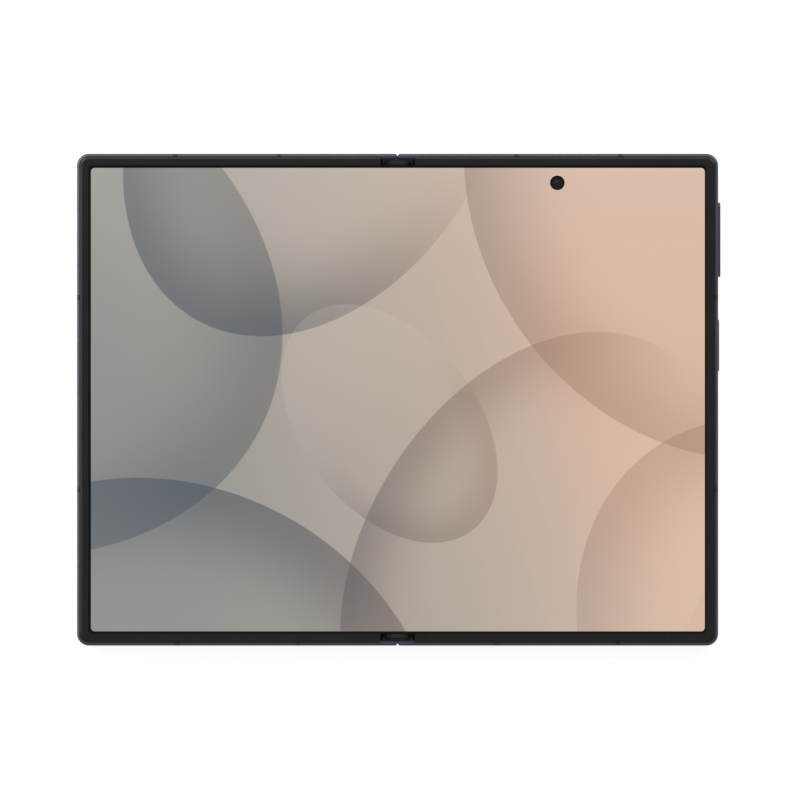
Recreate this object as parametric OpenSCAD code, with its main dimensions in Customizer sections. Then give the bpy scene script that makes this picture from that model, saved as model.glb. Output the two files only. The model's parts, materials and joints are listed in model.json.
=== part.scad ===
// Foldable smartphone with an inner screen that folds down the middle.
// It lies unfolded on its back, screen up: +X to the right, +Y to the top edge, +Z out of the screen.
// The fold line is the plane x = 0, and z = 0 is where the rear lens rings touch the table.

/* [Body] */
// Width of the unfolded phone, without its keys
open_w = 161.5; // [150:0.1:180]
// Height of the phone
body_h = 123.9; // [118:0.1:150]
// Thickness of one half, from its back to the top of its screen bezel
body_t = 4.9; // [4.8:0.1:6.5]
// Radius of the outer corners
corner_r = 3; // [3:0.1:8]
// Gap between the two halves at the fold line when open
seam_gap = 0.1; // [0.06:0.01:0.2]
// Gap between the two bezels when closed
closed_gap = 0.1; // [0.06:0.01:0.3]
// Depth of the notch at each end of the seam
seam_notch = 0.45; // [0.2:0.05:0.8]

/* [Frame] */
// Thickness of the metal side walls
rim_w = 1.25; // [1.2:0.05:1.5]
// How far the metal edge lies below the top of the bezel
rim_drop = 0.45; // [0.4:0.05:0.6]
// Chamfer along the lower edge of the metal frame
rim_chamfer = 0.25; // [0.1:0.05:0.4]
// Radius of the rounded upper edge of the metal frame
rim_round = 0.6; // [0.3:0.05:0.6]
// Width of the groove between the metal edge and the bezel
rim_groove = 0.25; // [0.1:0.05:0.3]
// How far the right frame reaches under the left one across the seam, at each end of the hinge
seam_lap = 0.5; // [0.3:0.05:0.7]
// Thickness of the deck that carries the screen
deck_t = 0.5; // [0.4:0.05:0.6]
// Thickness of the back wall that covers the hinge, glass included
back_wall = 0.85; // [0.7:0.05:0.9]
// Width of the hinge bay of each half, from the fold line
bay_w = 12.6; // [12.4:0.1:15]
// Thickness of the wall between the hinge bay and the electronics
bay_wall = 0.6; // [0.4:0.1:1]
// Width of a plastic antenna break
break_w = 1.2; // [0.6:0.05:1.6]
// Depth of a plastic antenna break
break_d = 0.95; // [0.5:0.05:0.95]
// Distance from the fold line to the inner antenna break in the top edge
break_top_inner = 29.9; // [26:0.1:31]
// Distance from the outer side to the outer antenna break in the top edge
break_top_outer = 24.7; // [22:0.1:25]
// Distance from the fold line to the inner antenna break in the bottom edge
break_bottom_inner = 25; // [18:0.1:28]
// Place of the outer break in the bottom edge between the speaker holes and the card tray, as a share
break_share = 0.4; // [0.35:0.01:0.6]
// Distance of the upper antenna break in the outer side below the top edge
break_from_top = 36.25; // [34:0.05:44]
// Distance of the lower antenna break in the outer side above the bottom edge
break_from_bottom = 39.25; // [30:0.05:48]

/* [Screen] */
// How far the screen lies below the top of the bezel
screen_drop = 0.45; // [0.4:0.05:0.5]
// Thickness of the folding screen
panel_t = 0.5; // [0.4:0.05:0.6]
// Distance from the outer edge of the phone to the edge of the screen panel
panel_inset = 1.9; // [1.8:0.05:2.2]
// Distance from the outer edge to the outer edge of the bezel
bezel_out = 0.85; // [0.7:0.05:1]
// Distance from the outer edge to the inner edge of the bezel
bezel_in = 3; // [2.6:0.1:3]
// Width of the sloped outer face of the bezel
bezel_slope = 0.5; // [0.2:0.05:0.8]
// Distance from the fold line to the ends of the bezel
bezel_end = 4.35; // [4.2:0.05:5]
// Radius of the inner corners of the bezel
screen_corner_r = 1; // [0.4:0.1:3]
// Distance from the fold line to where the folding strip of the screen begins
strip_half = 4.3; // [4:0.05:4.35]
// Diameter of the camera hole in the screen
punch_d = 3.7; // [3:0.1:5]
// Distance of the inner camera below the top edge
punch_from_top = 7.35; // [6:0.05:12]
// Distance of the inner camera from the middle of its half, towards the fold line
punch_shift = 0.15; // [0:0.05:2]

/* [Hinge] */
// Distance of each fold axis from the fold line
pivot_x = 1.2; // [1.1:0.05:1.3]
// Clearance between the back wall and the hinge cover
spine_clear = 0.15; // [0.1:0.05:0.25]
// Gap between each end of the hinge and the frame
spine_end_gap = 0.1; // [0.05:0.05:0.3]
// Thickness of the hinge cover
cover_t = 0.4; // [0.3:0.05:0.5]
// How far the sides of the hinge cover end below the fold axes
cover_side_drop = 1.15; // [1.1:0.05:1.4]
// Thickness of the hinge cover's end plates
cover_end_t = 0.6; // [0.4:0.1:1]
// Material of a hinge block under its curved groove
rail_floor = 0.35; // [0.25:0.05:0.4]
// Thickness of a curved rail
rail_t = 0.5; // [0.4:0.05:0.6]
// Width of a curved rail
rail_w = 3.4; // [2:0.1:3.6]
// Distance between the left and right rails of one hinge block
rail_pitch = 5; // [4.6:0.1:6]
// Distance from the end of the hinge to the outer rail
rail_from_end = 8.9; // [8.6:0.1:12]
// Thickness of the walls of a hinge block beside its rails
block_wall = 1.5; // [0.8:0.1:1.6]
// Running clearance of the hinge's rails, shafts and pins
fit_gap = 0.05; // [0.03:0.01:0.07]
// Clearance on each side of a part that swings past another
side_gap = 0.15; // [0.1:0.05:0.3]
// Pitch radius of the hinge gears
gear_r = 0.7; // [0.68:0.01:0.72]
// Number of teeth of a hinge gear
gear_teeth = 12; // [10:2:14]
// Width of a hinge gear and of its arm
gear_w = 3; // [2:0.1:4]
// Distance of the gears from the hinge block
gear_from_block = 12; // [11.5:0.5:16]
// Depth of the gear shafts below the fold axes
shaft_drop = 1.4; // [1.35:0.05:1.45]
// Radius of the gear shafts
shaft_r = 0.3; // [0.25:0.01:0.32]
// Thickness of a gear arm
arm_t = 0.5; // [0.4:0.05:0.6]
// Distance from the fold line to the guide pin of a gear arm
arm_pin_x = 8.5; // [8.2:0.1:9.5]
// Radius of the guide pin of a gear arm
arm_pin_r = 0.35; // [0.25:0.01:0.4]
// Thickness of the plates that guide an arm's pin
guide_t = 0.8; // [0.5:0.1:1]
// Thickness of the bracket walls that hold the shafts
bracket_t = 1.2; // [0.8:0.1:1.5]
// Length of a detent spring
spring_len = 5; // [3:0.5:6]
// Outer radius of a detent spring
spring_r = 0.6; // [0.5:0.05:0.65]
// Width of the bar of a hinge end cap
cap_bar_w = 7; // [6.4:0.1:7.4]
// Length of the bar of a hinge end cap, along the hinge
cap_bar_len = 0.6; // [0.4:0.1:0.9]
// Width of the stem of a hinge end cap
cap_stem_w = 5.7; // [4.5:0.1:6.2]
// Length of the stem of a hinge end cap, along the hinge
cap_stem_len = 1; // [0.7:0.1:1.2]
// Thickness of the frame's wall beside the end caps
cap_wall = 1.05; // [0.95:0.05:1.15]
// How far the end cap lies below the top of the bezel
cap_drop = 0.25; // [0.1:0.05:0.4]

/* [Screen support plates] */
// Thickness of a support plate
wing_t = 0.42; // [0.3:0.02:0.44]
// Distance from the fold line to a support plate's hinge line
wing_axis_x = 6.3; // [6.1:0.1:6.5]
// Distance from the fold line to a support plate's free edge
wing_edge_x = 0.3; // [0.2:0.05:0.6]
// Radius of a support plate's hinge pins
wing_pin_r = 0.2; // [0.15:0.01:0.21]

/* [Keys] */
// Distance of the volume key's middle below the top edge
volume_from_top = 21.65; // [18:0.05:24]
// Length of the volume key
volume_len = 18.8; // [14:0.1:22]
// How far the volume key stands proud of the side
volume_proud = 0.62; // [0.3:0.02:0.8]
// Distance between the middles of the volume key and the power key
key_pitch = 26.6; // [24:0.1:31]
// Length of the power key
power_len = 13.2; // [9:0.1:16]
// How far the power key stands proud of the side
power_proud = 0.3; // [0.24:0.02:0.6]
// Width of the keys across the thickness of the phone
key_w = 1.9; // [1.4:0.1:2.1]
// Distance of the keys' middle from the back of the phone
key_z = 2.3; // [2.2:0.05:2.4]
// Clearance round a key
key_gap = 0.1; // [0.06:0.01:0.15]
// Travel of a key
key_travel = 0.25; // [0.1:0.05:0.25]

/* [Ports] */
// Width of the charging socket's metal shell
usb_w = 8.94; // [8.8:0.02:9.1]
// Height of the charging socket's metal shell
usb_h = 3.16; // [3.1:0.02:3.2]
// Wall of the charging socket's shell
usb_wall = 0.3; // [0.2:0.05:0.35]
// Depth of the charging socket
usb_depth = 7.3; // [6.5:0.1:8]
// Distance of the charging socket from the middle of its half, towards the outer side
usb_shift = 0; // [-4:0.5:1]
// Distance of the charging socket's middle from the back of the phone
usb_z = 2.15; // [2.1:0.01:2.2]
// Width of the card tray's face
tray_w = 13.6; // [13.4:0.1:15]
// Height of the card tray's face
tray_h = 1.8; // [1.6:0.1:2]
// Length of the card tray
tray_len = 15; // [14:0.1:16]
// Thickness of the card tray's plate
tray_t = 0.8; // [0.7:0.05:0.9]
// Distance of the card tray's middle from the outer side
tray_from_side = 15.7; // [14:0.1:16.5]
// Radius of a speaker hole
hole_r = 0.5; // [0.3:0.05:0.7]
// Distance between speaker holes
hole_pitch = 1.6; // [1.5:0.1:2]

/* [Cameras] */
// How far the camera island stands proud of the back
island_proud = 1.2; // [0.8:0.1:1.6]
// How far the lens rings stand proud of the camera island
ring_proud = 0.6; // [0.5:0.1:1]
// Width of the camera island
island_w = 17; // [15:0.5:20]
// Distance of the camera island's middle from the outer side
island_from_side = 12.7; // [12.5:0.1:15]
// Distance of the camera island's middle below the top edge
island_from_top = 21; // [20:0.5:26]
// Distance between the two rear lenses
lens_pitch = 18.4; // [17:0.2:20]
// Outer radius of a lens ring
ring_r = 6.4; // [6:0.1:7]
// Radius of a lens cover glass
lens_cover_r = 5; // [4.6:0.1:5.4]
// Thickness of a lens cover glass
lens_cover_t = 0.4; // [0.3:0.05:0.45]
// Radius of a lens barrel
barrel_r = 3.6; // [3:0.1:3.8]
// Focus travel of a lens barrel
focus_travel = 0.3; // [0.1:0.05:0.3]
// Radius of the flash lens
flash_r = 1.6; // [1:0.1:1.8]

/* [Inside] */
// Thickness of the glass on the back and on the cover screen
glass_t = 0.4; // [0.3:0.05:0.4]
// Distance from the outer edge of the phone to the back glass
glass_inset = 1; // [0.8:0.05:1.1]
// Distance from the fold line to the back glass
glass_from_fold = 1.6; // [1.4:0.1:3]
// Height of the main board along the phone
main_board_h = 56.3; // [50:0.1:62]
// Height of the left board along the phone
left_board_h = 20.8; // [15:0.1:30]
// Gap between a battery and its board
cell_gap = 1; // [0.5:0.1:3]
// Gap between the two shield cans
can_gap = 1.5; // [1:0.1:3]
// Thickness of the circuit boards
board_t = 0.6; // [0.4:0.1:0.8]
// Outer radius of the charging coil
coil_r = 21; // [15:0.5:22]
// Inner radius of the charging coil
coil_hole_r = 10; // [6:0.5:12]
// Width of the hinge cable
cable_w = 14; // [8:0.5:16]
// Thickness of the hinge cable
cable_t = 0.15; // [0.1:0.01:0.2]

/* [Hidden] */
$fn = 48;

// Plan sizes
half_w = open_w / 2;
half_mid_x = half_w / 2;
edge_y = body_h / 2;
inner_y = edge_y - rim_w;
inner_x = half_w - rim_w;
seam_x = seam_gap / 2;
slack = 0.1;
least_gap = 0.05;
pin_gap = 0.03;
min_corner_r = 0.2;
far = 400;

// Heights above the back of the phone
rim_top = body_t - rim_drop;
screen_z = body_t - screen_drop;
panel_z = screen_z - panel_t;
deck_z = panel_z - deck_t;
bezel_sink = 0.35;
bezel_foot_z = rim_top - bezel_sink;
inside_z = glass_t + least_gap;
room_top = deck_z - slack;
camera_bump = island_proud + ring_proud;

// Hinge: each half turns about its own axis at pivot_x and pivot_z
pivot_z = body_t + closed_gap / 2 - pivot_x;
spine_r = pivot_z - back_wall - spine_clear;
spine_y = inner_y - spine_end_gap;
cover_side_z = pivot_z - cover_side_drop;
rail_r_out = spine_r - cover_t - rail_floor - fit_gap;
rail_r_in = rail_r_out - rail_t;
rail_start = -165;
rail_stop = -15;
plate_z = cover_side_z + side_gap;
plate_t = 0.5;
plate_x = pivot_x + rail_r_in + least_gap;
plate_margin = 1.1;
plate_end = bay_w - plate_margin;
right_rail_y = spine_y - rail_from_end;
left_rail_y = right_rail_y - rail_pitch;
block_out_y = right_rail_y + rail_w / 2 + block_wall;
block_in_y = left_rail_y - rail_w / 2 - block_wall;
block_drop = 0.45;
block_top = pivot_z - block_drop;
block_half = 2.2;
shoulder_z = cover_side_z;

// Gear train: two arm gears outside and two idlers between them
gear_y = block_in_y - gear_from_block;
shaft_z = pivot_z - shaft_drop;
arm_shaft_x = 3 * gear_r;
tooth = 2 * gear_r / gear_teeth;
addendum = 0.85;
dedendum = 1.15;
gear_tip_r = gear_r + addendum * tooth;
gear_root_r = gear_r - dedendum * tooth;
tooth_root = 0.25;
tooth_tip = 0.1;
arm_sink = 0.2;
arm_z = shaft_z - arm_sink;
pin_z = arm_z + arm_t / 2;
arm_half = gear_w / 2;
guide_in = arm_half + side_gap;
pin_end = guide_in + guide_t - slack;
slot_r = norm([arm_shaft_x - pivot_x, shaft_drop]);
slot_start = atan2(-shaft_drop, arm_shaft_x - pivot_x);
slot_x = arm_pin_x - (arm_shaft_x - pivot_x);
slot_z = pin_z + shaft_drop;
bracket_gap = 0.4;
bracket_in = arm_half + bracket_gap;
bracket_over = 0.55;
bracket_side = 0.75;
bracket_top = shaft_z + bracket_over;
bracket_half = arm_shaft_x + bracket_side;
spring_y = gear_y + bracket_in + bracket_t;
shaft_top = spring_y + spring_len + bracket_t;

// Screen strip, support plates and end caps
cap_in_y = spine_y - cap_bar_len - cap_stem_len;
strip_y = cap_in_y - slack;
wing_gap = 0.3;
wing_knuckle = 0.75;
wing_y = strip_y - wing_gap;
wing_z = panel_z - pin_gap - wing_t / 2;
wing_cut_x = wing_axis_x - wing_knuckle;
wing_relief_x = arm_shaft_x;
tab_y = wing_y + 2 * wing_gap;

// Parts inside the electronics bays
bay_x = bay_w + bay_wall;
part_gap = 0.8;
side_room = 3.4;
part_x = bay_x + part_gap;
part_end = inner_x - side_room;
island_x = half_w - island_from_side;
island_y = edge_y - island_from_top;
island_spare = 0.6;
island_h = island_w + lens_pitch + island_spare;
island_hole = 1.8;
lens_y = [island_y + lens_pitch / 2, island_y - lens_pitch / 2];
module_w = 11;
module_back = 0.6;
inner_camera_w = 7;
lens_recess = 0.05;
seat_gap = 0.02;
punch_x = half_mid_x - punch_shift;
punch_y = edge_y - punch_from_top;
cover_camera_d = punch_d - 7 * slack;
usb_x = half_mid_x + usb_shift;
tray_x = half_w - tray_from_side;
tray_z = 2;
socket_wall = 0.35;
tray_step = 0.5;
tray_in_y = -edge_y + tray_len;
tray_room = 1.6;
cell_y = tray_in_y + tray_room;
board_y = inner_y - main_board_h;
board_z = 1.4;
coil_x = (part_x + part_end) / 2;
coil_y = (cell_y + board_y - cell_gap) / 2;
left_cell_end = 8;
earpiece_room = 10;
left_cell_y = -inner_y + left_cell_end;
left_board_y = inner_y - left_board_h - earpiece_room;
volume_y = edge_y - volume_from_top;
power_y = volume_y - key_pitch;
key_flange_t = 0.35;
key_flange_gap = 0.3;
key_flange_x = inner_x - key_flange_gap - key_flange_t;
dome_t = 0.6;
dome_x = key_flange_x - key_travel - least_gap;
motor_x = 26;
motor_y = -inner_y + 7;
motor_size = [12, 8.4, 2.7];
motor_wall = 0.3;
motor_z = inside_z + 0.1;
speaker_holes = 5;
speaker_gap = 2;
speaker_x = usb_x + usb_w / 2 + speaker_gap;
speaker_end = speaker_x + (speaker_holes - 1) * hole_pitch + hole_r;
tray_side_x = tray_x - tray_w / 2 - slack;
earpiece_gap = 4.8;
earpiece_x = punch_x + earpiece_gap;
break_top = [break_top_inner, half_w - break_top_outer];
break_bottom = [break_bottom_inner, speaker_end + break_share * (tray_side_x - speaker_end)];
break_side = [edge_y - break_from_top, break_from_bottom - edge_y];
cable_in = 1;
cable_from = board_y + cable_in;
cable_to = cable_from + cable_w;
cable_y = (cable_from + cable_to) / 2;
tail_z = cover_side_z + slack;
tail_end = 0.9;
magnet_y = [-38, 2];
magnet_size = [2, 8, 1.1];
magnet_gap = 0.3;
board_screw_in = 2;
board_screw_out = 20;
board_screw_x = [part_x + board_screw_in, part_end - board_screw_out];
stroke = 0.4;

// Drawing helpers

// Lifts the phone so that its lens rings stand on z = 0
module lifted() {
  translate([0, 0, camera_bump]) children();
}

// Draws the same thing on the left
module on_left() {
  mirror([1, 0, 0]) children();
}

// Draws its children at the top and, mirrored, at the bottom
module both_ends() {
  children();
  mirror([0, 1, 0]) children();
}

// Extrudes an outline in X and Z along Y
module along_y(from, to) {
  translate([0, to, 0]) rotate([90, 0, 0]) linear_extrude(to - from) children();
}

// Round bar along Y
module bar_y(x, z, from, to, r) {
  translate([x, to, z]) rotate([90, 0, 0]) cylinder(h = to - from, r = r);
}

// Box from its lowest corner to its highest corner
module block(low, high) {
  translate(low) cube(high - low);
}

// Outline with two round ends, long along Y
module pill(w, h) {
  translate([-w / 2, -(h - w) / 2]) square([w, h - w]);
  for (side = [-1, 1]) translate([0, side * (h - w) / 2]) circle(d = w);
}

// Plan outline of the right half, set in from the outer edges
module half_plan(inset, from_x) {
  r = max(corner_r - inset, min_corner_r);
  cx = half_w - inset - r;
  cy = edge_y - inset - r;
  translate([from_x, -edge_y + inset]) square([cx - from_x, 2 * (edge_y - inset)]);
  translate([from_x, -cy]) square([half_w - inset - from_x, 2 * cy]);
  for (side = [-1, 1]) translate([cx, side * cy]) circle(r = r);
}

// Sweeps an edge profile (inset, height) round the three outer sides of the right half
module edge_sweep(from_x) {
  straight_x = half_w - corner_r;
  straight_y = edge_y - corner_r;
  translate([half_w, 0, 0]) mirror([1, 0, 0]) along_y(-straight_y, straight_y) children();
  both_ends() {
    translate([from_x, -edge_y, 0]) rotate([90, 0, 90]) linear_extrude(straight_x - from_x) children();
    translate([straight_x, -straight_y, 0]) rotate([0, 0, -90]) rotate_extrude(angle = 90) intersection() {
      translate([corner_r, 0]) mirror([1, 0]) children();
      translate([0, -far / 2]) square(far);
    }
  }
}

// Outline of the hinge cover's rounded section, for a given radius
module spine_outline(r) {
  for (side = [-1, 1]) translate([side * pivot_x, pivot_z]) circle(r = r, $fn = 96);
  translate([-pivot_x, pivot_z - r]) square([2 * pivot_x, 2 * r]);
}

// Part of an outline below a height
module below(z) {
  intersection() {
    children();
    translate([-far / 2, -far + z]) square(far);
  }
}

// Band round a centre between two angles
module arc_band(r_in, r_out, from, to) {
  reach = 3 * r_out;
  step = (to - from) / 4;
  intersection() {
    difference() {
      circle(r = r_out, $fn = 96);
      circle(r = r_in, $fn = 96);
    }
    polygon(concat([[0, 0]], [for (i = [0:4]) reach * [cos(from + i * step), sin(from + i * step)]]));
  }
}

// Frame of one half

module rim_profile() {
  land_end = bezel_out - rim_groove;
  r = min(rim_round, land_end);
  difference() {
    polygon([
      [rim_chamfer, 0], [0, rim_chamfer], [0, rim_top], [land_end, rim_top],
      [land_end, bezel_foot_z], [rim_w, bezel_foot_z],
      [rim_w, glass_t], [glass_inset, glass_t], [glass_inset, 0]
    ]);
    translate([0, rim_top]) difference() {
      square(2 * r, center = true);
      translate([r, -r]) circle(r = r);
    }
  }
}

module seam_cuts() {
  along_y(-edge_y - 1, edge_y + 1) difference() {
    translate([0, pivot_z]) square([pivot_x, body_t]);
    translate([pivot_x, pivot_z]) circle(r = pivot_x - seam_x, $fn = 96);
  }
  both_ends() translate([seam_x, edge_y, -1]) rotate([0, 0, 45])
    cube([seam_notch * sqrt(2), seam_notch * sqrt(2), 2 * body_t + 2], center = true);
}

module break_slots(top, bottom) {
  for (x = top) block([x - break_w / 2, edge_y - break_d, -1], [x + break_w / 2, edge_y + 1, body_t]);
  for (x = bottom) block([x - break_w / 2, -edge_y - 1, -1], [x + break_w / 2, -edge_y + break_d, body_t]);
  for (y = break_side)
    block([half_w - break_d, y - break_w / 2, -1], [half_w + 1, y + break_w / 2, body_t]);
}

// Screen deck with a gap for the support plate, and its hinge tabs
module deck() {
  wing_play = 0.25;
  tab_back = 0.5;
  tab_front = 1;
  tab_under = 0.45;
  deck_x = wing_axis_x + wing_t / 2 + wing_play;
  translate([0, 0, deck_z]) linear_extrude(deck_t) half_plan(rim_w - slack, deck_x);
  both_ends() difference() {
    block([wing_axis_x - tab_back, tab_y, wing_z - tab_under],
      [wing_axis_x + tab_front, inner_y + slack, panel_z]);
    bar_y(wing_axis_x, wing_z, tab_y - 1, inner_y - wing_gap, wing_pin_r + pin_gap);
  }
}

module rotator_boss(y) {
  boss_len = 4;
  block([plate_end - boss_len, y - rail_w / 2, glass_t], [plate_end, y + rail_w / 2, plate_z]);
}

module half_frame(rail_y) {
  fold_edge_x = glass_from_fold - least_gap;
  cable_play = 1;
  difference() {
    union() {
      edge_sweep(seam_x) rim_profile();
      both_ends()
        block([seam_x, -edge_y + bezel_out - slack, 0], [fold_edge_x, -edge_y + rim_w, back_wall]);
      block([seam_x, -inner_y - slack, glass_t], [bay_x, inner_y + slack, back_wall]);
      block([seam_x, -inner_y - slack, 0], [fold_edge_x, inner_y + slack, back_wall]);
      block([bay_w, -inner_y - slack, glass_t], [bay_x, inner_y + slack, deck_z + slack]);
      deck();
      both_ends() rotator_boss(rail_y);
    }
    seam_cuts();
    both_ends() block([-1, inner_y - slack, cover_side_z], [bezel_end, edge_y - cap_wall, body_t]);
    break_slots(break_top, break_bottom);
    both_ends() bar_screw(rail_y, shaft_r);
    block([bay_w - 1, cable_from - cable_play, board_z - 2 * slack],
      [bay_x + 1, cable_to + cable_play, room_top]);
  }
}

// Tongue across the seam beyond the ends of the hinge, and with grow its room in the other half
module seam_tongue(grow) {
  both_ends() block([-seam_lap - grow, inner_y - slack / 2 - grow, -grow],
    [seam_x + slack, edge_y - seam_notch + grow, back_wall + grow]);
}

// Hole or screw shank through a rail plate into its boss
module bar_screw(y, r) {
  from_end = 2;
  translate([plate_end - from_end, y, back_wall]) cylinder(h = plate_z + plate_t - back_wall, r = r);
}

module key_opening(y, len) {
  translate([inner_x - 1, y, key_z]) rotate([90, 0, 90]) linear_extrude(rim_w + 2)
    rotate([0, 0, 90]) pill(key_w + 2 * key_gap, len + 2 * key_gap);
}

module edge_holes(x, count, y) {
  for (i = [0:count - 1]) bar_y(x + i * hole_pitch, usb_z, y - rim_w, y + rim_w, hole_r);
}

module usb_outline(grow) {
  rotate([0, 0, 90]) pill(usb_h + 2 * grow, usb_w + 2 * grow);
}

module right_frame() {
  mic_gap = 3;
  camera_play = 0.6;
  color([0.36, 0.36, 0.40]) lifted() difference() {
    half_frame(right_rail_y);
    key_opening(volume_y, volume_len);
    key_opening(power_y, power_len);
    translate([usb_x, 0, usb_z])
      along_y(-edge_y - 1, -edge_y + usb_depth + 3 * slack) usb_outline(least_gap);
    tray_face(slack, -edge_y - 1, -inner_y + 1);
    edge_holes(speaker_x, speaker_holes, -edge_y);
    edge_holes(usb_x - usb_w / 2 - mic_gap, 1, -edge_y);
    edge_holes(punch_x, 1, edge_y);
    translate([punch_x, punch_y, deck_z - 1]) cylinder(h = 2, r = punch_d / 2 + camera_play);
  }
  color([0.36, 0.36, 0.40]) lifted() seam_tongue(0);
}

module left_frame() {
  hole_gap = 4;
  color([0.42, 0.42, 0.46]) lifted() on_left() difference() {
    half_frame(left_rail_y);
    mirror([1, 0, 0]) seam_tongue(slack);
    edge_holes(earpiece_x, speaker_holes, edge_y);
    edge_holes(break_bottom[0] + hole_gap, speaker_holes, -edge_y);
  }
}

module break_insert() {
  intersection() {
    edge_sweep(bezel_end) rim_profile();
    break_slots(break_top, break_bottom);
  }
}

module right_antenna_breaks() {
  color([0.30, 0.30, 0.33]) lifted() break_insert();
}

module left_antenna_breaks() {
  color([0.30, 0.30, 0.33]) lifted() on_left() break_insert();
}

// Bezel round the screen

module bezel_profile() {
  foot = panel_inset - least_gap;
  slope_h = 0.25;
  edge = 0.1;
  polygon([
    [bezel_out, bezel_foot_z], [bezel_out, body_t - slope_h], [bezel_out + bezel_slope, body_t],
    [bezel_in - edge, body_t], [bezel_in, body_t - edge], [bezel_in, screen_z],
    [foot, screen_z], [foot, bezel_foot_z]
  ]);
}

module half_bezel() {
  inner_r = corner_r - bezel_in;
  edge = 0.1;
  root = 0.3;
  edge_sweep(bezel_end) bezel_profile();
  if (screen_corner_r > inner_r) both_ends()
    translate([half_w - bezel_in, -edge_y + bezel_in, screen_z]) linear_extrude(body_t - edge - screen_z)
      difference() {
        translate([-screen_corner_r, -root]) square([screen_corner_r + root, screen_corner_r + root]);
        translate([-screen_corner_r, screen_corner_r]) circle(r = screen_corner_r);
      }
}

module right_bezel() {
  color([0.15, 0.15, 0.16]) lifted() half_bezel();
}

module left_bezel() {
  color([0.15, 0.15, 0.16]) lifted() on_left() half_bezel();
}

// Folding screen: two stiff panels and the strip that bends between them

module half_panel() {
  translate([0, 0, panel_z]) linear_extrude(panel_t) half_plan(panel_inset, strip_half);
}

module display_right_panel() {
  color([0.80, 0.70, 0.62]) lifted() difference() {
    half_panel();
    translate([punch_x, punch_y, panel_z - 1]) cylinder(h = panel_t + 2, d = punch_d);
  }
}

module display_left_panel() {
  color([0.60, 0.60, 0.58]) lifted() on_left() half_panel();
}

module display_fold_zone() {
  color([0.70, 0.66, 0.61]) lifted()
    block([-strip_half, -strip_y, panel_z], [strip_half, strip_y, screen_z]);
}

// Plates that carry the folding strip and tip down as the phone closes

module wing_plate() {
  pin_stop = wing_gap + least_gap;
  difference() {
    union() {
      block([wing_edge_x, -wing_y, wing_z - wing_t / 2], [wing_axis_x, wing_y, wing_z + wing_t / 2]);
      bar_y(wing_axis_x, wing_z, -wing_y, wing_y, wing_t / 2);
      both_ends() bar_y(wing_axis_x, wing_z, wing_y - 1, inner_y - pin_stop, wing_pin_r);
    }
    both_ends() {
      wing_window(block_in_y - wing_gap, block_out_y + wing_gap, wing_cut_x);
      wing_window(gear_y - pin_end - 2 * wing_gap, gear_y + pin_end + 2 * wing_gap, wing_cut_x);
      wing_window(gear_y - bracket_in - bracket_t - wing_gap, shaft_top + wing_gap, wing_relief_x);
    }
  }
}

// Room in a support plate for what stands up from the hinge
module wing_window(from, to, reach) {
  block([-1, from, 0], [reach, to, body_t]);
}

module right_wing_plate() {
  color([0.62, 0.62, 0.64]) lifted() wing_plate();
}

module left_wing_plate() {
  color([0.62, 0.62, 0.64]) lifted() on_left() wing_plate();
}

// Hinge between the halves

module hinge_cover() {
  color([0.20, 0.21, 0.30]) lifted() difference() {
    along_y(-spine_y, spine_y) below(cover_side_z) spine_outline(spine_r);
    along_y(-spine_y + cover_end_t, spine_y - cover_end_t) spine_outline(spine_r - cover_t);
    for (side = [-1, 1]) both_ends() {
      translate([side * (arm_shaft_x + spine_r), gear_y, arm_z - side_gap + body_t / 2])
        cube([2 * spine_r, 2 * guide_in, body_t], center = true);
      bar_y(side * arm_shaft_x, shaft_z, gear_y - guide_in, gear_y + guide_in, gear_tip_r + slack);
    }
  }
}

module rail_slot(y) {
  along_y(y - rail_w / 2 - side_gap, y + rail_w / 2 + side_gap) {
    translate([pivot_x, pivot_z]) difference() {
      circle(r = rail_r_out + fit_gap, $fn = 96);
      circle(r = rail_r_in - fit_gap, $fn = 96);
    }
    translate([plate_x - least_gap, plate_z - slack]) square([far, body_t]);
  }
}

module hinge_block() {
  difference() {
    along_y(block_in_y, block_out_y) {
      below(shoulder_z) spine_outline(spine_r - cover_t);
      intersection() {
        below(block_top) spine_outline(spine_r - cover_t);
        translate([-block_half, 0]) square([2 * block_half, block_top]);
      }
    }
    rail_slot(right_rail_y);
    on_left() rail_slot(left_rail_y);
  }
}

module hinge_blocks() {
  color([0.45, 0.46, 0.50]) lifted() both_ends() hinge_block();
}

module rotator(y) {
  difference() {
    along_y(y - rail_w / 2, y + rail_w / 2) {
      translate([pivot_x, pivot_z]) arc_band(rail_r_in, rail_r_out, rail_start, rail_stop);
      translate([plate_x, plate_z]) square([plate_end - plate_x, plate_t]);
    }
    bar_screw(y, shaft_r);
  }
}

module right_rotators() {
  color([0.70, 0.70, 0.72]) lifted() both_ends() rotator(right_rail_y);
}

module left_rotators() {
  color([0.70, 0.70, 0.72]) lifted() on_left() both_ends() rotator(left_rail_y);
}

// Synchronising gears and arms

function gear_outline(phase) = [
  for (i = [0:gear_teeth - 1]) for (p = [
    [-tooth_root, gear_root_r], [-tooth_tip, gear_tip_r], [tooth_tip, gear_tip_r], [tooth_root, gear_root_r]
  ]) p[1] * [cos((i + p[0] + phase) * 360 / gear_teeth), sin((i + p[0] + phase) * 360 / gear_teeth)]
];

module gear(x, phase) {
  translate([x, shaft_z]) difference() {
    polygon(gear_outline(phase));
    circle(r = shaft_r + pin_gap);
  }
}

module gear_arm(phase) {
  past_pin = 0.5;
  along_y(gear_y - arm_half, gear_y + arm_half) {
    gear(arm_shaft_x, phase);
    difference() {
      translate([arm_shaft_x, arm_z]) square([arm_pin_x - arm_shaft_x + past_pin, arm_t]);
      translate([arm_shaft_x, shaft_z]) circle(r = gear_root_r - least_gap);
    }
  }
  bar_y(arm_pin_x, pin_z, gear_y - pin_end, gear_y + pin_end, arm_pin_r);
}

module idler(phase) {
  along_y(gear_y - arm_half, gear_y + arm_half) gear(gear_r, phase);
}

module right_gear_arms() {
  color([0.78, 0.70, 0.45]) lifted() both_ends() gear_arm(0);
}

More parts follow.
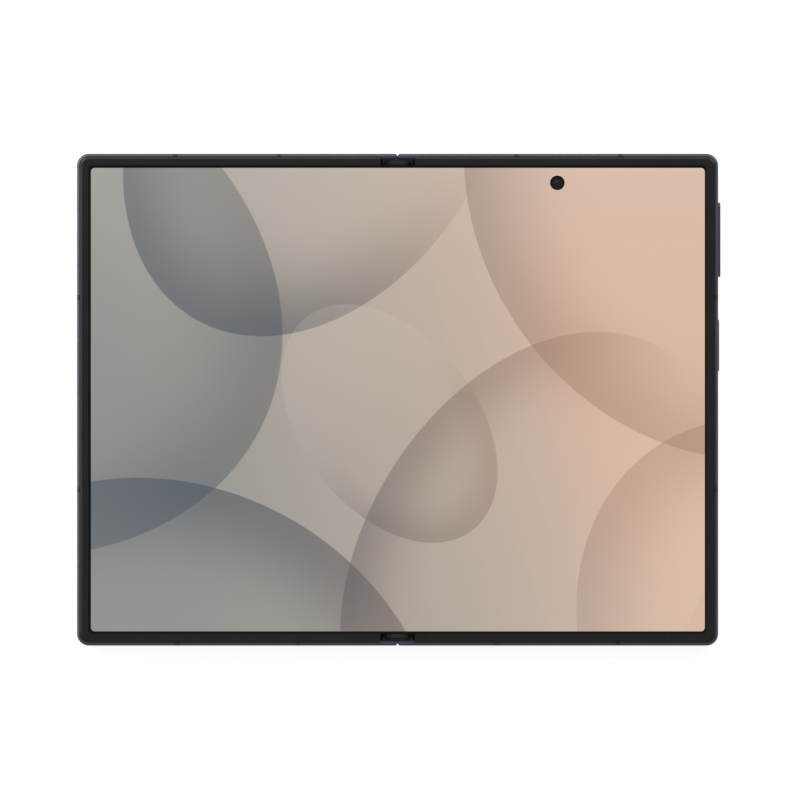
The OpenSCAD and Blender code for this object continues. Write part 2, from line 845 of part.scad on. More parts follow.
module left_gear_arms() {
  color([0.78, 0.70, 0.45]) lifted() on_left() both_ends() gear_arm(0.5);
}

module right_idler_gears() {
  color([0.70, 0.62, 0.40]) lifted() both_ends() idler(0.5);
}

module left_idler_gears() {
  color([0.70, 0.62, 0.40]) lifted() on_left() both_ends() idler(0);
}

// Plates whose curved slot an arm's pin runs in as the half turns
module arm_guide() {
  margin = 0.9;
  end = 0.2;
  both_ends() for (side = [-1, 1]) translate([0, gear_y + side * (guide_in + guide_t / 2), 0])
    along_y(-guide_t / 2, guide_t / 2) difference() {
      translate([slot_x - slot_r - margin, back_wall])
        square([2 * (slot_r + margin) + end, room_top - back_wall - slack]);
      translate([slot_x, slot_z]) {
        arc_band(slot_r - arm_pin_r - fit_gap, slot_r + arm_pin_r + fit_gap, slot_start - 90, slot_start);
        for (a = [slot_start - 90, slot_start])
          translate(slot_r * [cos(a), sin(a)]) circle(r = arm_pin_r + fit_gap);
      }
    }
}

module right_arm_guides() {
  color([0.55, 0.55, 0.58]) lifted() arm_guide();
}

module left_arm_guides() {
  color([0.55, 0.55, 0.58]) lifted() on_left() arm_guide();
}

module shaft_places() {
  for (side = [-1, 1]) for (x = [gear_r, arm_shaft_x]) translate([side * x, 0, 0]) children();
}

module bracket_wall(from) {
  along_y(from, from + bracket_t) difference() {
    intersection() {
      spine_outline(spine_r - cover_t);
      translate([-bracket_half, 0]) square([2 * bracket_half, bracket_top]);
    }
    for (side = [-1, 1]) for (x = [gear_r, arm_shaft_x]) translate([side * x, shaft_z]) circle(r = shaft_r);
  }
}

module gear_brackets() {
  color([0.50, 0.50, 0.54]) lifted() both_ends() {
    bracket_wall(gear_y - bracket_in - bracket_t);
    bracket_wall(gear_y + bracket_in);
    bracket_wall(spring_y + spring_len);
  }
}

module hinge_shafts() {
  color([0.80, 0.80, 0.82]) lifted() both_ends()
    shaft_places() bar_y(0, shaft_z, gear_y - bracket_in - bracket_t, shaft_top, shaft_r);
}

module detent_springs() {
  color([0.60, 0.60, 0.62]) lifted() both_ends() for (side = [-1, 1])
    translate([side * arm_shaft_x, 0, 0]) difference() {
      bar_y(0, shaft_z, spring_y, spring_y + spring_len, spring_r);
      bar_y(0, shaft_z, spring_y - 1, spring_y + spring_len + 1, shaft_r + pin_gap);
    }
}

module screw_y_places() {
  for (y = [block_in_y + block_wall / 2, block_out_y - block_wall / 2]) translate([0, y, 0]) children();
}

module hinge_screws() {
  head_h = 0.25;
  head_r = 0.55;
  color([0.75, 0.75, 0.78]) lifted() both_ends() screw_y_places()
    translate([0, 0, block_top]) cylinder(h = head_h, r = head_r);
}

module hinge_end_caps() {
  foot_w = 2 * pivot_x + 1;
  color([0.14, 0.14, 0.15]) lifted() both_ends() {
    translate([0, 0, cover_side_z]) linear_extrude(body_t - cap_drop - cover_side_z) {
      translate([-cap_bar_w / 2, spine_y - cap_bar_len]) square([cap_bar_w, cap_bar_len]);
      translate([-cap_stem_w / 2, cap_in_y]) square([cap_stem_w, spine_y - cap_in_y]);
    }
    block([-foot_w / 2, cap_in_y, pivot_z - spine_r + cover_t + slack],
      [foot_w / 2, spine_y - cover_end_t, cover_side_z + slack]);
  }
}

module hinge_flex_cable() {
  color([0.75, 0.45, 0.15]) lifted()
    block([-strip_half, cable_from, tail_z], [strip_half, cable_to, tail_z + cable_t]);
}

// Back glass, cameras and flash

module glass_outline() {
  half_plan(glass_inset + least_gap, glass_from_fold);
}

module island_outline(shrink) {
  translate([island_x, island_y]) pill(island_w - shrink, island_h - shrink);
}

module back_glass() {
  color([0.55, 0.57, 0.62]) lifted() difference() {
    linear_extrude(glass_t) glass_outline();
    translate([0, 0, -1]) linear_extrude(3) island_outline(island_hole);
  }
}

module cover_glass() {
  color([0.03, 0.03, 0.04]) lifted() on_left() linear_extrude(glass_t) glass_outline();
}

module lens_places() {
  for (y = lens_y) translate([island_x, y, 0]) children();
}

module camera_island() {
  ring_edge = 0.2;
  barrel_play = 0.4;
  seat = lens_recess + lens_cover_t;
  color([0.40, 0.41, 0.45]) lifted() difference() {
    union() {
      translate([0, 0, -island_proud]) linear_extrude(island_proud) island_outline(0);
      linear_extrude(glass_t) island_outline(island_hole + slack);
      lens_places() {
        translate([0, 0, -camera_bump]) cylinder(h = ring_edge, r1 = ring_r - ring_edge, r2 = ring_r);
        translate([0, 0, ring_edge - camera_bump]) cylinder(h = ring_proud, r = ring_r);
      }
    }
    lens_places() {
      translate([0, 0, -camera_bump - 1]) cylinder(h = 4, r = barrel_r + barrel_play);
      translate([0, 0, -camera_bump - 1]) cylinder(h = 1 + seat, r = lens_cover_r + seat_gap);
    }
    translate([island_x, island_y, -island_proud - 1]) cylinder(h = 3, r = flash_r + seat_gap);
  }
}

module camera_lens_covers() {
  color([0.05, 0.06, 0.09]) lifted() lens_places()
    translate([0, 0, lens_recess - camera_bump]) cylinder(h = lens_cover_t, r = lens_cover_r);
}

module flash_lens() {
  color([0.95, 0.90, 0.75]) lifted()
    translate([island_x, island_y, slack - island_proud]) cylinder(h = island_proud, r = flash_r);
}

module rear_camera_modules() {
  color([0.12, 0.12, 0.13]) lifted() lens_places() difference() {
    translate([-module_w / 2, -module_w / 2, inside_z]) cube([module_w, module_w, room_top - inside_z]);
    translate([0, 0, inside_z - 1])
      cylinder(h = room_top - inside_z + 1 - module_back, r = barrel_r + fit_gap);
  }
}

module lens_barrel(y) {
  front = lens_recess + lens_cover_t - camera_bump + focus_travel + slack;
  funnel_h = 0.4;
  funnel_wall = 1.4;
  translate([island_x, y, 0]) difference() {
    translate([0, 0, front]) cylinder(h = room_top - module_back - slack - front, r = barrel_r);
    translate([0, 0, front - 1]) cylinder(h = 1 + funnel_h, r = barrel_r - funnel_wall);
  }
}

module main_lens_barrel() {
  color([0.08, 0.08, 0.09]) lifted() lens_barrel(lens_y[0]);
}

module wide_lens_barrel() {
  color([0.08, 0.08, 0.09]) lifted() lens_barrel(lens_y[1]);
}

module inner_camera() {
  body_half = inner_camera_w / 2;
  sink = 0.4;
  shoulder = 0.4;
  color([0.10, 0.10, 0.12]) lifted() translate([punch_x, punch_y, 0]) {
    block([-body_half, -body_half, board_z - sink], [body_half, body_half, room_top]);
    translate([0, 0, room_top - slack]) cylinder(h = panel_z - room_top, r = punch_d / 2 + shoulder);
    translate([0, 0, room_top - slack]) cylinder(h = screen_z - room_top, r = punch_d / 2 - slack);
  }
}

// Electronics of the right half

module main_board() {
  margin = 1;
  notch = inner_camera_w / 2 + 3 * slack;
  board_end = island_x - island_w / 2 - margin;
  color([0.08, 0.30, 0.18]) lifted() {
    difference() {
      block([part_x, board_y, board_z], [board_end, inner_y - margin, board_z + board_t]);
      block([punch_x - notch, punch_y - notch, 0], [punch_x + notch, edge_y, body_t]);
    }
    block([strip_half, cable_from, tail_z], [part_x + tail_end, cable_to, tail_z + cable_t]);
    block([part_x, cable_from, board_z + board_t], [part_x + tail_end, cable_to, tail_z]);
  }
}

module shield_cans() {
  margin = 1;
  camera_room = 5;
  z = board_z + board_t;
  x_start = part_x + margin;
  x_end = island_x - island_w / 2 - 2 * margin;
  middle = (x_start + x_end) / 2;
  color([0.72, 0.72, 0.74]) lifted() {
    block([x_start, board_y + margin, z], [middle - can_gap / 2, punch_y - camera_room, room_top]);
    block([middle + can_gap / 2, board_y + margin, z], [x_end, punch_y - camera_room, room_top]);
  }
}

module cell(from, to) {
  coil_room = 0.5;
  block([part_x, from, inside_z + coil_room], [part_end, to, room_top - slack]);
}

module right_battery() {
  color([0.18, 0.18, 0.20]) lifted() cell(cell_y, board_y - cell_gap);
}

module left_battery() {
  color([0.18, 0.18, 0.20]) lifted() on_left() cell(left_cell_y, left_board_y - cell_gap);
}

module charging_coil() {
  coil_t = 0.4;
  color([0.72, 0.42, 0.25]) lifted() translate([coil_x, coil_y, inside_z])
    difference() {
      cylinder(h = coil_t, r = coil_r, $fn = 96);
      translate([0, 0, -1]) cylinder(h = 3, r = coil_hole_r, $fn = 96);
    }
}

module usb_port() {
  shell_inset = 0.25;
  wall_t = 1.2;
  tongue = [3.2, 0.35];
  back_y = -edge_y + usb_depth;
  color([0.62, 0.62, 0.64]) lifted() translate([usb_x, 0, usb_z]) {
    along_y(-edge_y + shell_inset, back_y) difference() {
      usb_outline(0);
      usb_outline(-usb_wall);
    }
    along_y(back_y - wall_t, back_y) usb_outline(-usb_wall);
    block([-tongue[0], -edge_y + wall_t, -tongue[1]], [tongue[0], back_y - wall_t, tongue[1]]);
  }
}

module bottom_speaker() {
  size = [8.6, 9];
  x = speaker_x - 1;
  color([0.15, 0.15, 0.16]) lifted()
    block([x, -inner_y + slack, inside_z], [x + size[0], -inner_y + size[1], room_top]);
}

module earpiece_speaker() {
  size = [9, 6];
  sink = 0.5;
  x = earpiece_x - 1;
  color([0.15, 0.15, 0.16]) lifted() on_left()
    block([x, inner_y - size[1], inside_z + sink], [x + size[0], inner_y - slack, room_top]);
}

module key_flex_board() {
  strip_t = 0.4;
  below_power = 4;
  above_volume = 8;
  dome_r = 0.8;
  color([0.70, 0.42, 0.14]) lifted() {
    block([dome_x - dome_t - strip_t, power_y - below_power, key_z - dome_r],
      [dome_x - dome_t, volume_y + above_volume, key_z + dome_r]);
    for (y = [power_y, volume_y - volume_len / 3, volume_y + volume_len / 3])
      translate([dome_x - dome_t, y, key_z]) rotate([0, 90, 0]) cylinder(h = dome_t, r = dome_r);
  }
}

module vibration_motor_case() {
  color([0.66, 0.66, 0.68]) lifted() translate([motor_x, motor_y, motor_z]) difference() {
    translate([-motor_size[0] / 2, -motor_size[1] / 2, 0]) cube(motor_size);
    translate([-motor_size[0] / 2 + motor_wall, -motor_size[1] / 2 + motor_wall, motor_wall])
      cube(motor_size - 2 * motor_wall * [1, 1, 1]);
  }
}

module vibration_mass() {
  size = motor_size - 2 * (motor_wall + slack) * [1, 1, 1] - [2 * stroke, 0, 0];
  color([0.45, 0.45, 0.47]) lifted()
    translate([motor_x, motor_y, motor_z + motor_size[2] / 2]) cube(size, center = true);
}

// Card tray

module tray_face(grow, from, to) {
  translate([tray_x, 0, tray_z]) along_y(from, to)
    rotate([0, 0, 90]) pill(tray_h + 2 * grow, tray_w + 2 * grow);
}

module sim_tray() {
  card_half = 6.15;
  card_len = 8.8;
  end_bar = 1.2;
  hole_in = 1.2;
  hole_r = 0.4;
  color([0.36, 0.36, 0.40]) lifted() difference() {
    union() {
      tray_face(0, -edge_y, -inner_y);
      block([tray_x - tray_w / 2 + tray_step, -inner_y - 2 * slack, tray_z - tray_t / 2],
        [tray_x + tray_w / 2 - tray_step, tray_in_y, tray_z + tray_t / 2]);
    }
    block([tray_x - card_half, tray_in_y - end_bar - card_len, tray_z - slack],
      [tray_x + card_half, tray_in_y - end_bar, body_t]);
    bar_y(tray_x + tray_w / 2 - hole_in, tray_z, -edge_y - 1, -inner_y + 1, hole_r);
  }
}

module sim_tray_socket() {
  half = tray_w / 2 + socket_wall;
  room_half = tray_w / 2 - tray_step + slack;
  color([0.70, 0.70, 0.72]) lifted() difference() {
    block([tray_x - half, -inner_y + slack, tray_z - tray_t / 2 - 2 * socket_wall],
      [tray_x + half, tray_in_y + 1, tray_z + tray_t / 2 + 2 * socket_wall]);
    block([tray_x - room_half, -edge_y, tray_z - tray_t / 2 - slack],
      [tray_x + room_half, tray_in_y + 2 * slack, tray_z + tray_t / 2 + slack]);
  }
}

// Keys

module key(y, len, proud) {
  edge = 0.15;
  bite = 0.01;
  ear = 0.6;
  face_x = half_w + proud - edge;
  translate([0, y, key_z]) rotate([90, 0, 90]) {
    translate([0, 0, key_flange_x]) linear_extrude(face_x - key_flange_x)
      rotate([0, 0, 90]) pill(key_w, len);
    translate([0, 0, face_x - bite]) linear_extrude(edge + bite)
      rotate([0, 0, 90]) pill(key_w - 2 * edge, len - 2 * edge);
    translate([-len / 2 - ear, -key_w / 2 + slack, key_flange_x])
      cube([len + 2 * ear, key_w - 2 * slack, key_flange_t]);
  }
}

module volume_key() {
  color([0.37, 0.37, 0.41]) lifted() key(volume_y, volume_len, volume_proud);
}

module power_key() {
  color([0.39, 0.39, 0.43]) lifted() key(power_y, power_len, power_proud);
}

// Left half: cover screen and electronics

module cover_display_panel() {
  display_t = 0.4;
  display_gap = 0.5;
  color([0.02, 0.02, 0.03]) lifted() on_left() difference() {
    translate([0, 0, inside_z]) linear_extrude(display_t) half_plan(rim_w + display_gap, bay_x + 3 * slack);
    translate([punch_x, punch_y, 0]) cylinder(h = 2, d = cover_camera_d + 2 * slack);
  }
}

module cover_camera() {
  size = [6, 6, 2];
  sink = 0.5;
  color([0.10, 0.10, 0.12]) lifted() on_left() translate([punch_x, punch_y, inside_z]) {
    translate([-size[0] / 2, -size[1] / 2, sink]) cube(size);
    cylinder(h = 2 * sink, d = cover_camera_d);
  }
}

module left_board() {
  run_end = part_x - 2 * slack;
  run_x = bay_x + slack;
  plug_y = left_board_y + 1;
  plug_end = left_board_y + 6;
  color([0.08, 0.30, 0.18]) lifted() on_left() {
    block([part_x, left_board_y, board_z], [part_end, left_board_y + left_board_h, board_z + board_t]);
    block([strip_half, cable_from, tail_z], [run_end, cable_to, tail_z + cable_t]);
    block([run_x, cable_y, tail_z], [run_end, plug_end, tail_z + cable_t]);
    block([run_x, plug_y, tail_z], [part_x + tail_end, plug_end, tail_z + cable_t]);
    block([part_x, plug_y, board_z + board_t], [part_x + tail_end, plug_end, tail_z]);
  }
}

// Magnets and screws

module half_magnets() {
  for (y = magnet_y)
    translate([part_end + magnet_gap, y - magnet_size[1], room_top - slack - magnet_size[2]])
      cube(magnet_size);
}

module right_magnets() {
  color([0.50, 0.50, 0.52]) lifted() half_magnets();
}

module left_magnets() {
  color([0.50, 0.50, 0.52]) lifted() on_left() half_magnets();
}

module half_screws(rail_y) {
  both_ends() bar_screw(rail_y, shaft_r);
}

module board_screws(y) {
  head_h = 0.4;
  head_r = 0.9;
  for (x = board_screw_x)
    translate([x, y, board_z + board_t]) cylinder(h = head_h, r = head_r);
}

module right_screws() {
  color([0.75, 0.75, 0.78]) lifted() {
    half_screws(right_rail_y);
    board_screws(punch_y - 1);
  }
}

module left_screws() {
  color([0.75, 0.75, 0.78]) lifted() on_left() {
    half_screws(left_rail_y);
    board_screws(left_board_y + 2);
  }
}

hinge_cover();
hinge_blocks();
gear_brackets();
hinge_end_caps();
hinge_shafts();
detent_springs();
hinge_screws();
hinge_flex_cable();
display_fold_zone();
right_gear_arms();
left_gear_arms();
right_idler_gears();
left_idler_gears();
right_wing_plate();
left_wing_plate();
right_frame();
right_bezel();
right_antenna_breaks();
back_glass();
camera_island();
camera_lens_covers();
flash_lens();
rear_camera_modules();
main_board();
shield_cans();
right_battery();
charging_coil();
usb_port();
bottom_speaker();
inner_camera();
right_rotators();
right_arm_guides();
display_right_panel();
key_flex_board();
vibration_motor_case();
sim_tray_socket();
right_magnets();
right_screws();
volume_key();
power_key();
sim_tray();
main_lens_barrel();
wide_lens_barrel();
vibration_mass();
left_frame();
left_bezel();
left_antenna_breaks();
cover_glass();
cover_display_panel();
cover_camera();
left_battery();
left_board();
earpiece_speaker();
left_rotators();
left_arm_guides();
display_left_panel();
left_magnets();
left_screws();
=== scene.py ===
"""Looks of the foldable smartphone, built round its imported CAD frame."""

import json
import math

import bmesh
import bpy
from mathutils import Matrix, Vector


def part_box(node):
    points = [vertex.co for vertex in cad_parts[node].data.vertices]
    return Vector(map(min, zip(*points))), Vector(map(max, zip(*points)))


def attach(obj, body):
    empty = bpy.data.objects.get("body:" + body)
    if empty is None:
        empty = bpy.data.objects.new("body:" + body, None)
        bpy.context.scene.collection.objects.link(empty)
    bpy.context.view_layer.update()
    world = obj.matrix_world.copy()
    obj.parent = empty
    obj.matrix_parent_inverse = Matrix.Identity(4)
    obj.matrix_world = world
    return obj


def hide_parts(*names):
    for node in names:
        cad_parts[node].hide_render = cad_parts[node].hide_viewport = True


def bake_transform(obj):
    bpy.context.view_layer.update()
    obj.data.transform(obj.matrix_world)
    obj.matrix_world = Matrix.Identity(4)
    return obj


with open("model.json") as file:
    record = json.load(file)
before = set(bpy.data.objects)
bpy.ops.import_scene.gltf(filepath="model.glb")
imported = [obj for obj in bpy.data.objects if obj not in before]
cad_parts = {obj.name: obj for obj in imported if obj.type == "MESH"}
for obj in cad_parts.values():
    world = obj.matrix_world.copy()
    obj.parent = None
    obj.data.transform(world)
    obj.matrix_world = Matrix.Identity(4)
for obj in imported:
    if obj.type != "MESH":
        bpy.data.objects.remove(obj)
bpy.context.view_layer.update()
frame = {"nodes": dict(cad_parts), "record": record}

MM = 0.001
# Radius that stands for a point on the axis of a turned form
AXIS = 1e-6
# Points nearer than this are merged in a finished piece
MERGE = 1e-4
# Angle above which the edges of a finished piece stay sharp
SHARP_DEG = 35
HALVES = ((1, "right"), (-1, "left"))

# Places and sizes of the phone, in mm

# Height of the phone's back above the table, on its lens rings
LIFT = 1.8
EDGE_Y = 61.95
BEZEL_TOP = LIFT + 4.85
SCREEN_Z = LIFT + 4.45
PANEL_Z = LIFT + 3.95
STRIP_HALF = 4.3
STRIP_Y = 58.9
# Side of the square that the strip's map of its shape at rest covers
REST_SPAN = 200
# Middle of the inner camera
PUNCH = (40.225, 54.6)
# Lit part of the screen: half its width and height, its middle and its corner radius
ACTIVE = (77.26, 58.33)
ACTIVE_MID = (0.07, 0.015)
ACTIVE_R = 1.0
# Camera island: its middle, its size, the angle above which its edges stay sharp, and its holes
ISLAND = (68.05, 40.95)
ISLAND_W = 17.0
ISLAND_H = 36.0
ISLAND_SHARP_DEG = 30
LENS_HOLE_R = 6.2
FLASH_HOLE_R = 1.75
LENS_Y = {"main_focus": 50.15, "wide_focus": 31.75}
# Charging socket, and the sound holes: their step, their number in a row and where each row begins
USB_X = 40.375
PORT_Z = LIFT + 2.15
HOLE_STEP = 1.6
HOLE_COUNT = 5
SPEAKER_FROM_SOCKET = 6.47
MICROPHONE_FROM_SOCKET = 7.47
EARPIECE_FROM_PUNCH = 4.8
LEFT_SPEAKER_X = 29
# Section of the hinge cover: two arcs about the fold axes, and where its end plates begin
PIVOT_X = 1.2
PIVOT_Z = LIFT + 3.75
SPINE_R = 2.75
SPINE_IN_Y = 59.98
SPINE_TOP = PIVOT_Z - 1.15
# Hinge bay in the metal frames: half its width, half its length and its floor
BAY = (12.5, 60.55, LIFT + 0.84)

# Relief of the finest grain in the looks, in metres
GRAIN_HEIGHT = 0.00002

scene = bpy.context.scene
scene.view_settings.view_transform = "Standard"


# Camera: straight down on the screen with a long lens

camera_data = bpy.data.cameras.new("camera")
camera_data.type = "PERSP"
camera_data.lens = 200
camera_data.sensor_width = 36
camera_data.clip_start = 0.05
camera_data.clip_end = 20
camera = bpy.data.objects.new("camera", camera_data)
camera.location = (0.00061, -0.00008, 1.1251)
scene.collection.objects.link(camera)
scene.camera = camera


# Materials


class Graph:
    """The node tree of one material, with short calls for its nodes."""

    def __init__(self, name):
        self.material = bpy.data.materials.new(name)
        self.material.use_nodes = True
        self.tree = self.material.node_tree
        self.shader = self.tree.nodes["Principled BSDF"]

    def put(self, socket, value):
        """Links an output to a socket, or sets the socket to a fixed value."""
        if isinstance(value, bpy.types.NodeSocket):
            self.tree.links.new(value, socket)
        else:
            socket.default_value = value

    def node(self, kind, settings=None, **inputs):
        """A node with its settings and its inputs, named with underscores."""
        made = self.tree.nodes.new(kind)
        for key, value in (settings or {}).items():
            setattr(made, key, value)
        for key, value in inputs.items():
            self.put(made.inputs[key.replace("_", " ")], value)
        return made

    def math(self, operation, *values):
        """The result of a maths node."""
        made = self.tree.nodes.new("ShaderNodeMath")
        made.operation = operation
        for socket, value in zip(made.inputs, values):
            self.put(socket, value)
        return made.outputs[0]

    def vector(self, operation, vector, other=None):
        """A vector node on a vector and a fixed point."""
        made = self.node("ShaderNodeVectorMath", {"operation": operation})
        self.put(made.inputs[0], vector)
        if other:
            made.inputs[1].default_value = other
        return made

    def ramp(self, value, low, high, to_low=0.0, to_high=1.0, smooth=True):
        """A value that runs from one level to another while its input runs from low to high."""
        made = self.tree.nodes.new("ShaderNodeMapRange")
        made.interpolation_type = "SMOOTHSTEP" if smooth else "LINEAR"
        for socket, v in zip(made.inputs, (value, low, high, to_low, to_high)):
            self.put(socket, v)
        return made.outputs[0]

    def spread(self, noise, low=0.0, high=1.0):
        """The middle of a noise value's range, widened to run from low to high."""
        return self.ramp(noise, 0.3, 0.7, low, high)

    def blotch(self, fine, slow):
        """A fine and a slow noise, weighed together."""
        return self.math("ADD", self.math("MULTIPLY", fine, 0.6), self.math("MULTIPLY", slow, 0.4))

    def mix(self, factor, a, b):
        """A colour between two colours."""
        made = self.tree.nodes.new("ShaderNodeMix")
        made.data_type = "RGBA"
        self.put(made.inputs[0], factor)
        for socket, value in ((made.inputs[6], a), (made.inputs[7], b)):
            self.put(socket, value if isinstance(value, bpy.types.NodeSocket) else (*value[:3], 1))
        return made.outputs[2]

    def place(self):
        """The point on the surface, in metres in the object's own frame."""
        return self.node("ShaderNodeTexCoord").outputs["Object"]

    def noise(self, vector, scale, detail=3.0):
        """A noise value at a point."""
        made = self.node("ShaderNodeTexNoise", Vector=vector, Scale=scale, Detail=detail)
        return made.outputs[0]

    def bump(self, height, strength, distance):
        """Gives the surface a fine relief."""
        made = self.node("ShaderNodeBump", Height=height, Strength=strength, Distance=distance)
        self.put(self.shader.inputs["Normal"], made.outputs[0])

    def plain(self, **values):
        """Sets inputs of the surface, named with underscores."""
        for key, value in values.items():
            self.put(self.shader.inputs[key.replace("_", " ")], value)


def srgb(*levels):
    """A colour written in 0-255 display levels, as linear values."""
    out = []
    for level in levels:
        v = level / 255
        out.append(v / 12.92 if v <= 0.04045 else ((v + 0.055) / 1.055) ** 2.4)
    return tuple(out)


def scaled(color, factor):
    """A colour made lighter or darker."""
    return tuple(min(1.0, v * factor) for v in color)


def surface(
    name, color, rough, metal=0.0, level=0.5, grain=6000, depth=0.15, vary=0.1, stretch=(1, 1, 1), coat=0.0
):
    """A finish with a fine grain, a slow change of tone and uneven gloss."""
    g = Graph(name)
    place = g.node("ShaderNodeMapping", Vector=g.place(), Scale=stretch).outputs[0]
    fine = g.noise(place, grain)
    slow = g.noise(place, grain / 90, 2.0)
    tone = g.blotch(fine, slow)
    g.plain(
        Base_Color=g.mix(g.spread(tone), scaled(color, 1 - vary), scaled(color, 1 + vary)),
        Roughness=g.spread(slow, rough - 0.02, rough + 0.02),
        Metallic=metal,
        Coat_Weight=coat,
        Coat_Roughness=0.08,
        Specular_IOR_Level=level,
    )
    g.bump(fine, depth, GRAIN_HEIGHT)
    return g.material


def frame_material(name):
    """Fine blasted metal, with a black coat inside the hinge bay that is partly a real coat and partly
    painted shade for the shaded bay.
    """
    g = Graph(name)
    place = g.place()
    split = g.node("ShaderNodeSeparateXYZ", Vector=place)
    # Inside the hinge bay the metal turns to a black coat, which also serves as painted shade there
    near_x = g.math("LESS_THAN", g.math("ABSOLUTE", split.outputs[0]), BAY[0] * MM)
    near_y = g.math("LESS_THAN", g.math("ABSOLUTE", split.outputs[1]), BAY[1] * MM)
    above = g.math("GREATER_THAN", split.outputs[2], BAY[2] * MM)
    coat = g.math("MULTIPLY", g.math("MULTIPLY", near_x, near_y), above)
    fine = g.noise(place, 22000)
    slow = g.noise(place, 240, 2.0)
    tone = g.spread(g.blotch(fine, slow))
    metal = g.mix(tone, srgb(60, 61, 69), srgb(64, 65, 73))
    black = g.mix(tone, srgb(32, 32, 34), srgb(40, 40, 42))
    g.plain(
        Base_Color=g.mix(coat, metal, black),
        Metallic=g.ramp(coat, 0, 1, 0.95, 0.0),
        Roughness=g.spread(slow, 0.33, 0.39),
        Specular_IOR_Level=0.15,
    )
    g.bump(fine, 0.25, GRAIN_HEIGHT)
    return g.material


def spine_material(name):
    """Metal of the hinge cover, with a black coat inside it."""
    g = Graph(name)
    place = g.place()
    split = g.node("ShaderNodeSeparateXYZ", Vector=place)
    beside = g.math("MAXIMUM", g.math("SUBTRACT", g.math("ABSOLUTE", split.outputs[0]), PIVOT_X * MM), 0.0)
    under = g.math("SUBTRACT", split.outputs[2], PIVOT_Z * MM)
    r = g.math("SQRT", g.math("ADD", g.math("POWER", beside, 2.0), g.math("POWER", under, 2.0)))
    inside = g.math("LESS_THAN", r, (SPINE_R - 0.2) * MM)
    inside = g.math("MAXIMUM", inside, g.math("GREATER_THAN", split.outputs[2], (SPINE_TOP - 0.02) * MM))
    before_end = g.math("LESS_THAN", g.math("ABSOLUTE", split.outputs[1]), SPINE_IN_Y * MM)
    coat = g.math("MULTIPLY", inside, before_end)
    fine = g.noise(place, 14000)
    tone = g.spread(fine)
    metal = g.mix(tone, srgb(44, 46, 60), srgb(50, 52, 68))
    black = g.mix(tone, srgb(32, 32, 34), srgb(40, 40, 42))
    g.plain(
        Base_Color=g.mix(coat, metal, black),
        Metallic=g.ramp(coat, 0, 1, 0.75, 0.0),
        Roughness=g.ramp(coat, 0, 1, 0.32, 0.6),
        Specular_IOR_Level=0.15,
    )
    g.bump(fine, 0.2, GRAIN_HEIGHT)
    return g.material


def end_cap_material(name):
    """Black plastic of the hinge's end caps, with painted shade that makes them darker towards their sides.
    """
    g = Graph(name)
    place = g.place()
    beside = g.math("ABSOLUTE", g.node("ShaderNodeSeparateXYZ", Vector=place).outputs[0])
    fine = g.noise(place, 12000)
    middle = g.mix(g.spread(fine), srgb(24, 24, 25), srgb(28, 28, 29))
    # Painted shade: the colour of the caps' sides, which darkens them away from the middle
    side = g.mix(g.spread(fine), srgb(7, 7, 7), srgb(10, 10, 10))
    g.plain(
        Base_Color=g.mix(g.ramp(beside, 1.2 * MM, 2.7 * MM), middle, side),
        Roughness=g.spread(g.noise(place, 130), 0.42, 0.5),
        Specular_IOR_Level=0.07,
    )
    g.bump(fine, 0.15, GRAIN_HEIGHT)
    return g.material


def board_material(name):
    """Green circuit board with a fine grid of copper tracks and pads."""
    g = Graph(name)
    place = g.place()
    tracks = g.node("ShaderNodeTexBrick", Vector=place, Scale=900.0, Mortar_Size=0.012)
    tracks.inputs["Color1"].default_value = (0.012, 0.075, 0.04, 1)
    tracks.inputs["Color2"].default_value = (0.018, 0.10, 0.055, 1)
    tracks.inputs["Mortar"].default_value = (0.25, 0.16, 0.05, 1)
    speck = g.ramp(g.noise(place, 5000), 0.62, 0.66)
    g.plain(
        Base_Color=g.mix(speck, tracks.outputs["Color"], (0.35, 0.30, 0.22)),
        Roughness=g.ramp(speck, 0, 1, 0.45, 0.25),
    )
    g.bump(tracks.outputs["Fac"], 0.4, 0.00003)
    return g.material


def glass_material(name, tint, coating):
    """Clear lens cover with a dark coating that changes over the lens and keeps its reflections low."""
    g = Graph(name)
    shade = g.ramp(g.noise(g.place(), 120), 0.35, 0.65)
    g.plain(
        Base_Color=g.mix(shade, tint, coating),
        Roughness=g.ramp(shade, 0, 1, 0.03, 0.06),
        Alpha=0.25,
        Specular_IOR_Level=0.15,
    )
    return g.material


# Rings of the camera behind the cover glass, from the outside in: the radii of each one's soft edge, in mm
COVER_RINGS = [(1.6, 1.5, srgb(42, 43, 47)), (1.35, 1.3, srgb(10, 10, 12)), (0.7, 0.5, srgb(20, 26, 52))]


def cover_material(name):
    """Black cover glass over a dark screen, with the dark ring of its camera behind it."""
    g = Graph(name)
    place = g.place()
    r = g.vector("DISTANCE", place, (-PUNCH[0] * MM, PUNCH[1] * MM, LIFT * MM)).outputs["Value"]
    color = g.mix(g.spread(g.noise(place, 400)), srgb(9, 9, 11), srgb(13, 13, 16))
    for fade_from, fade_to, ring in COVER_RINGS:
        color = g.mix(g.ramp(r, fade_from * MM, fade_to * MM), color, ring)
    g.plain(Base_Color=color, Roughness=g.spread(g.noise(place, 60), 0.07, 0.085), Specular_IOR_Level=0.12)
    return g.material


SLATE = srgb(70, 81, 94)
UMBER = srgb(150, 117, 96)

# Overlapping soft discs of the wallpaper, in mm: middle, radii, turn of the shaded side, depth of shade
DISCS = [
    ((-112.0, 30.0), (86.0, 66.0), -24.0, 0.50),
    ((-58.0, -86.0), (64.0, 72.0), 58.0, 0.62),
    ((-20.0, 74.0), (62.0, 44.0), -120.0, 0.60),
    ((34.0, -40.0), (42.0, 62.0), 148.0, 0.50),
    ((80.0, 52.0), (60.0, 70.0), -146.0, 0.42),
    ((98.0, -62.0), (60.0, 50.0), 122.0, 0.36),
    ((-2.0, -6.0), (34.0, 22.0), -52.0, 0.45),
]


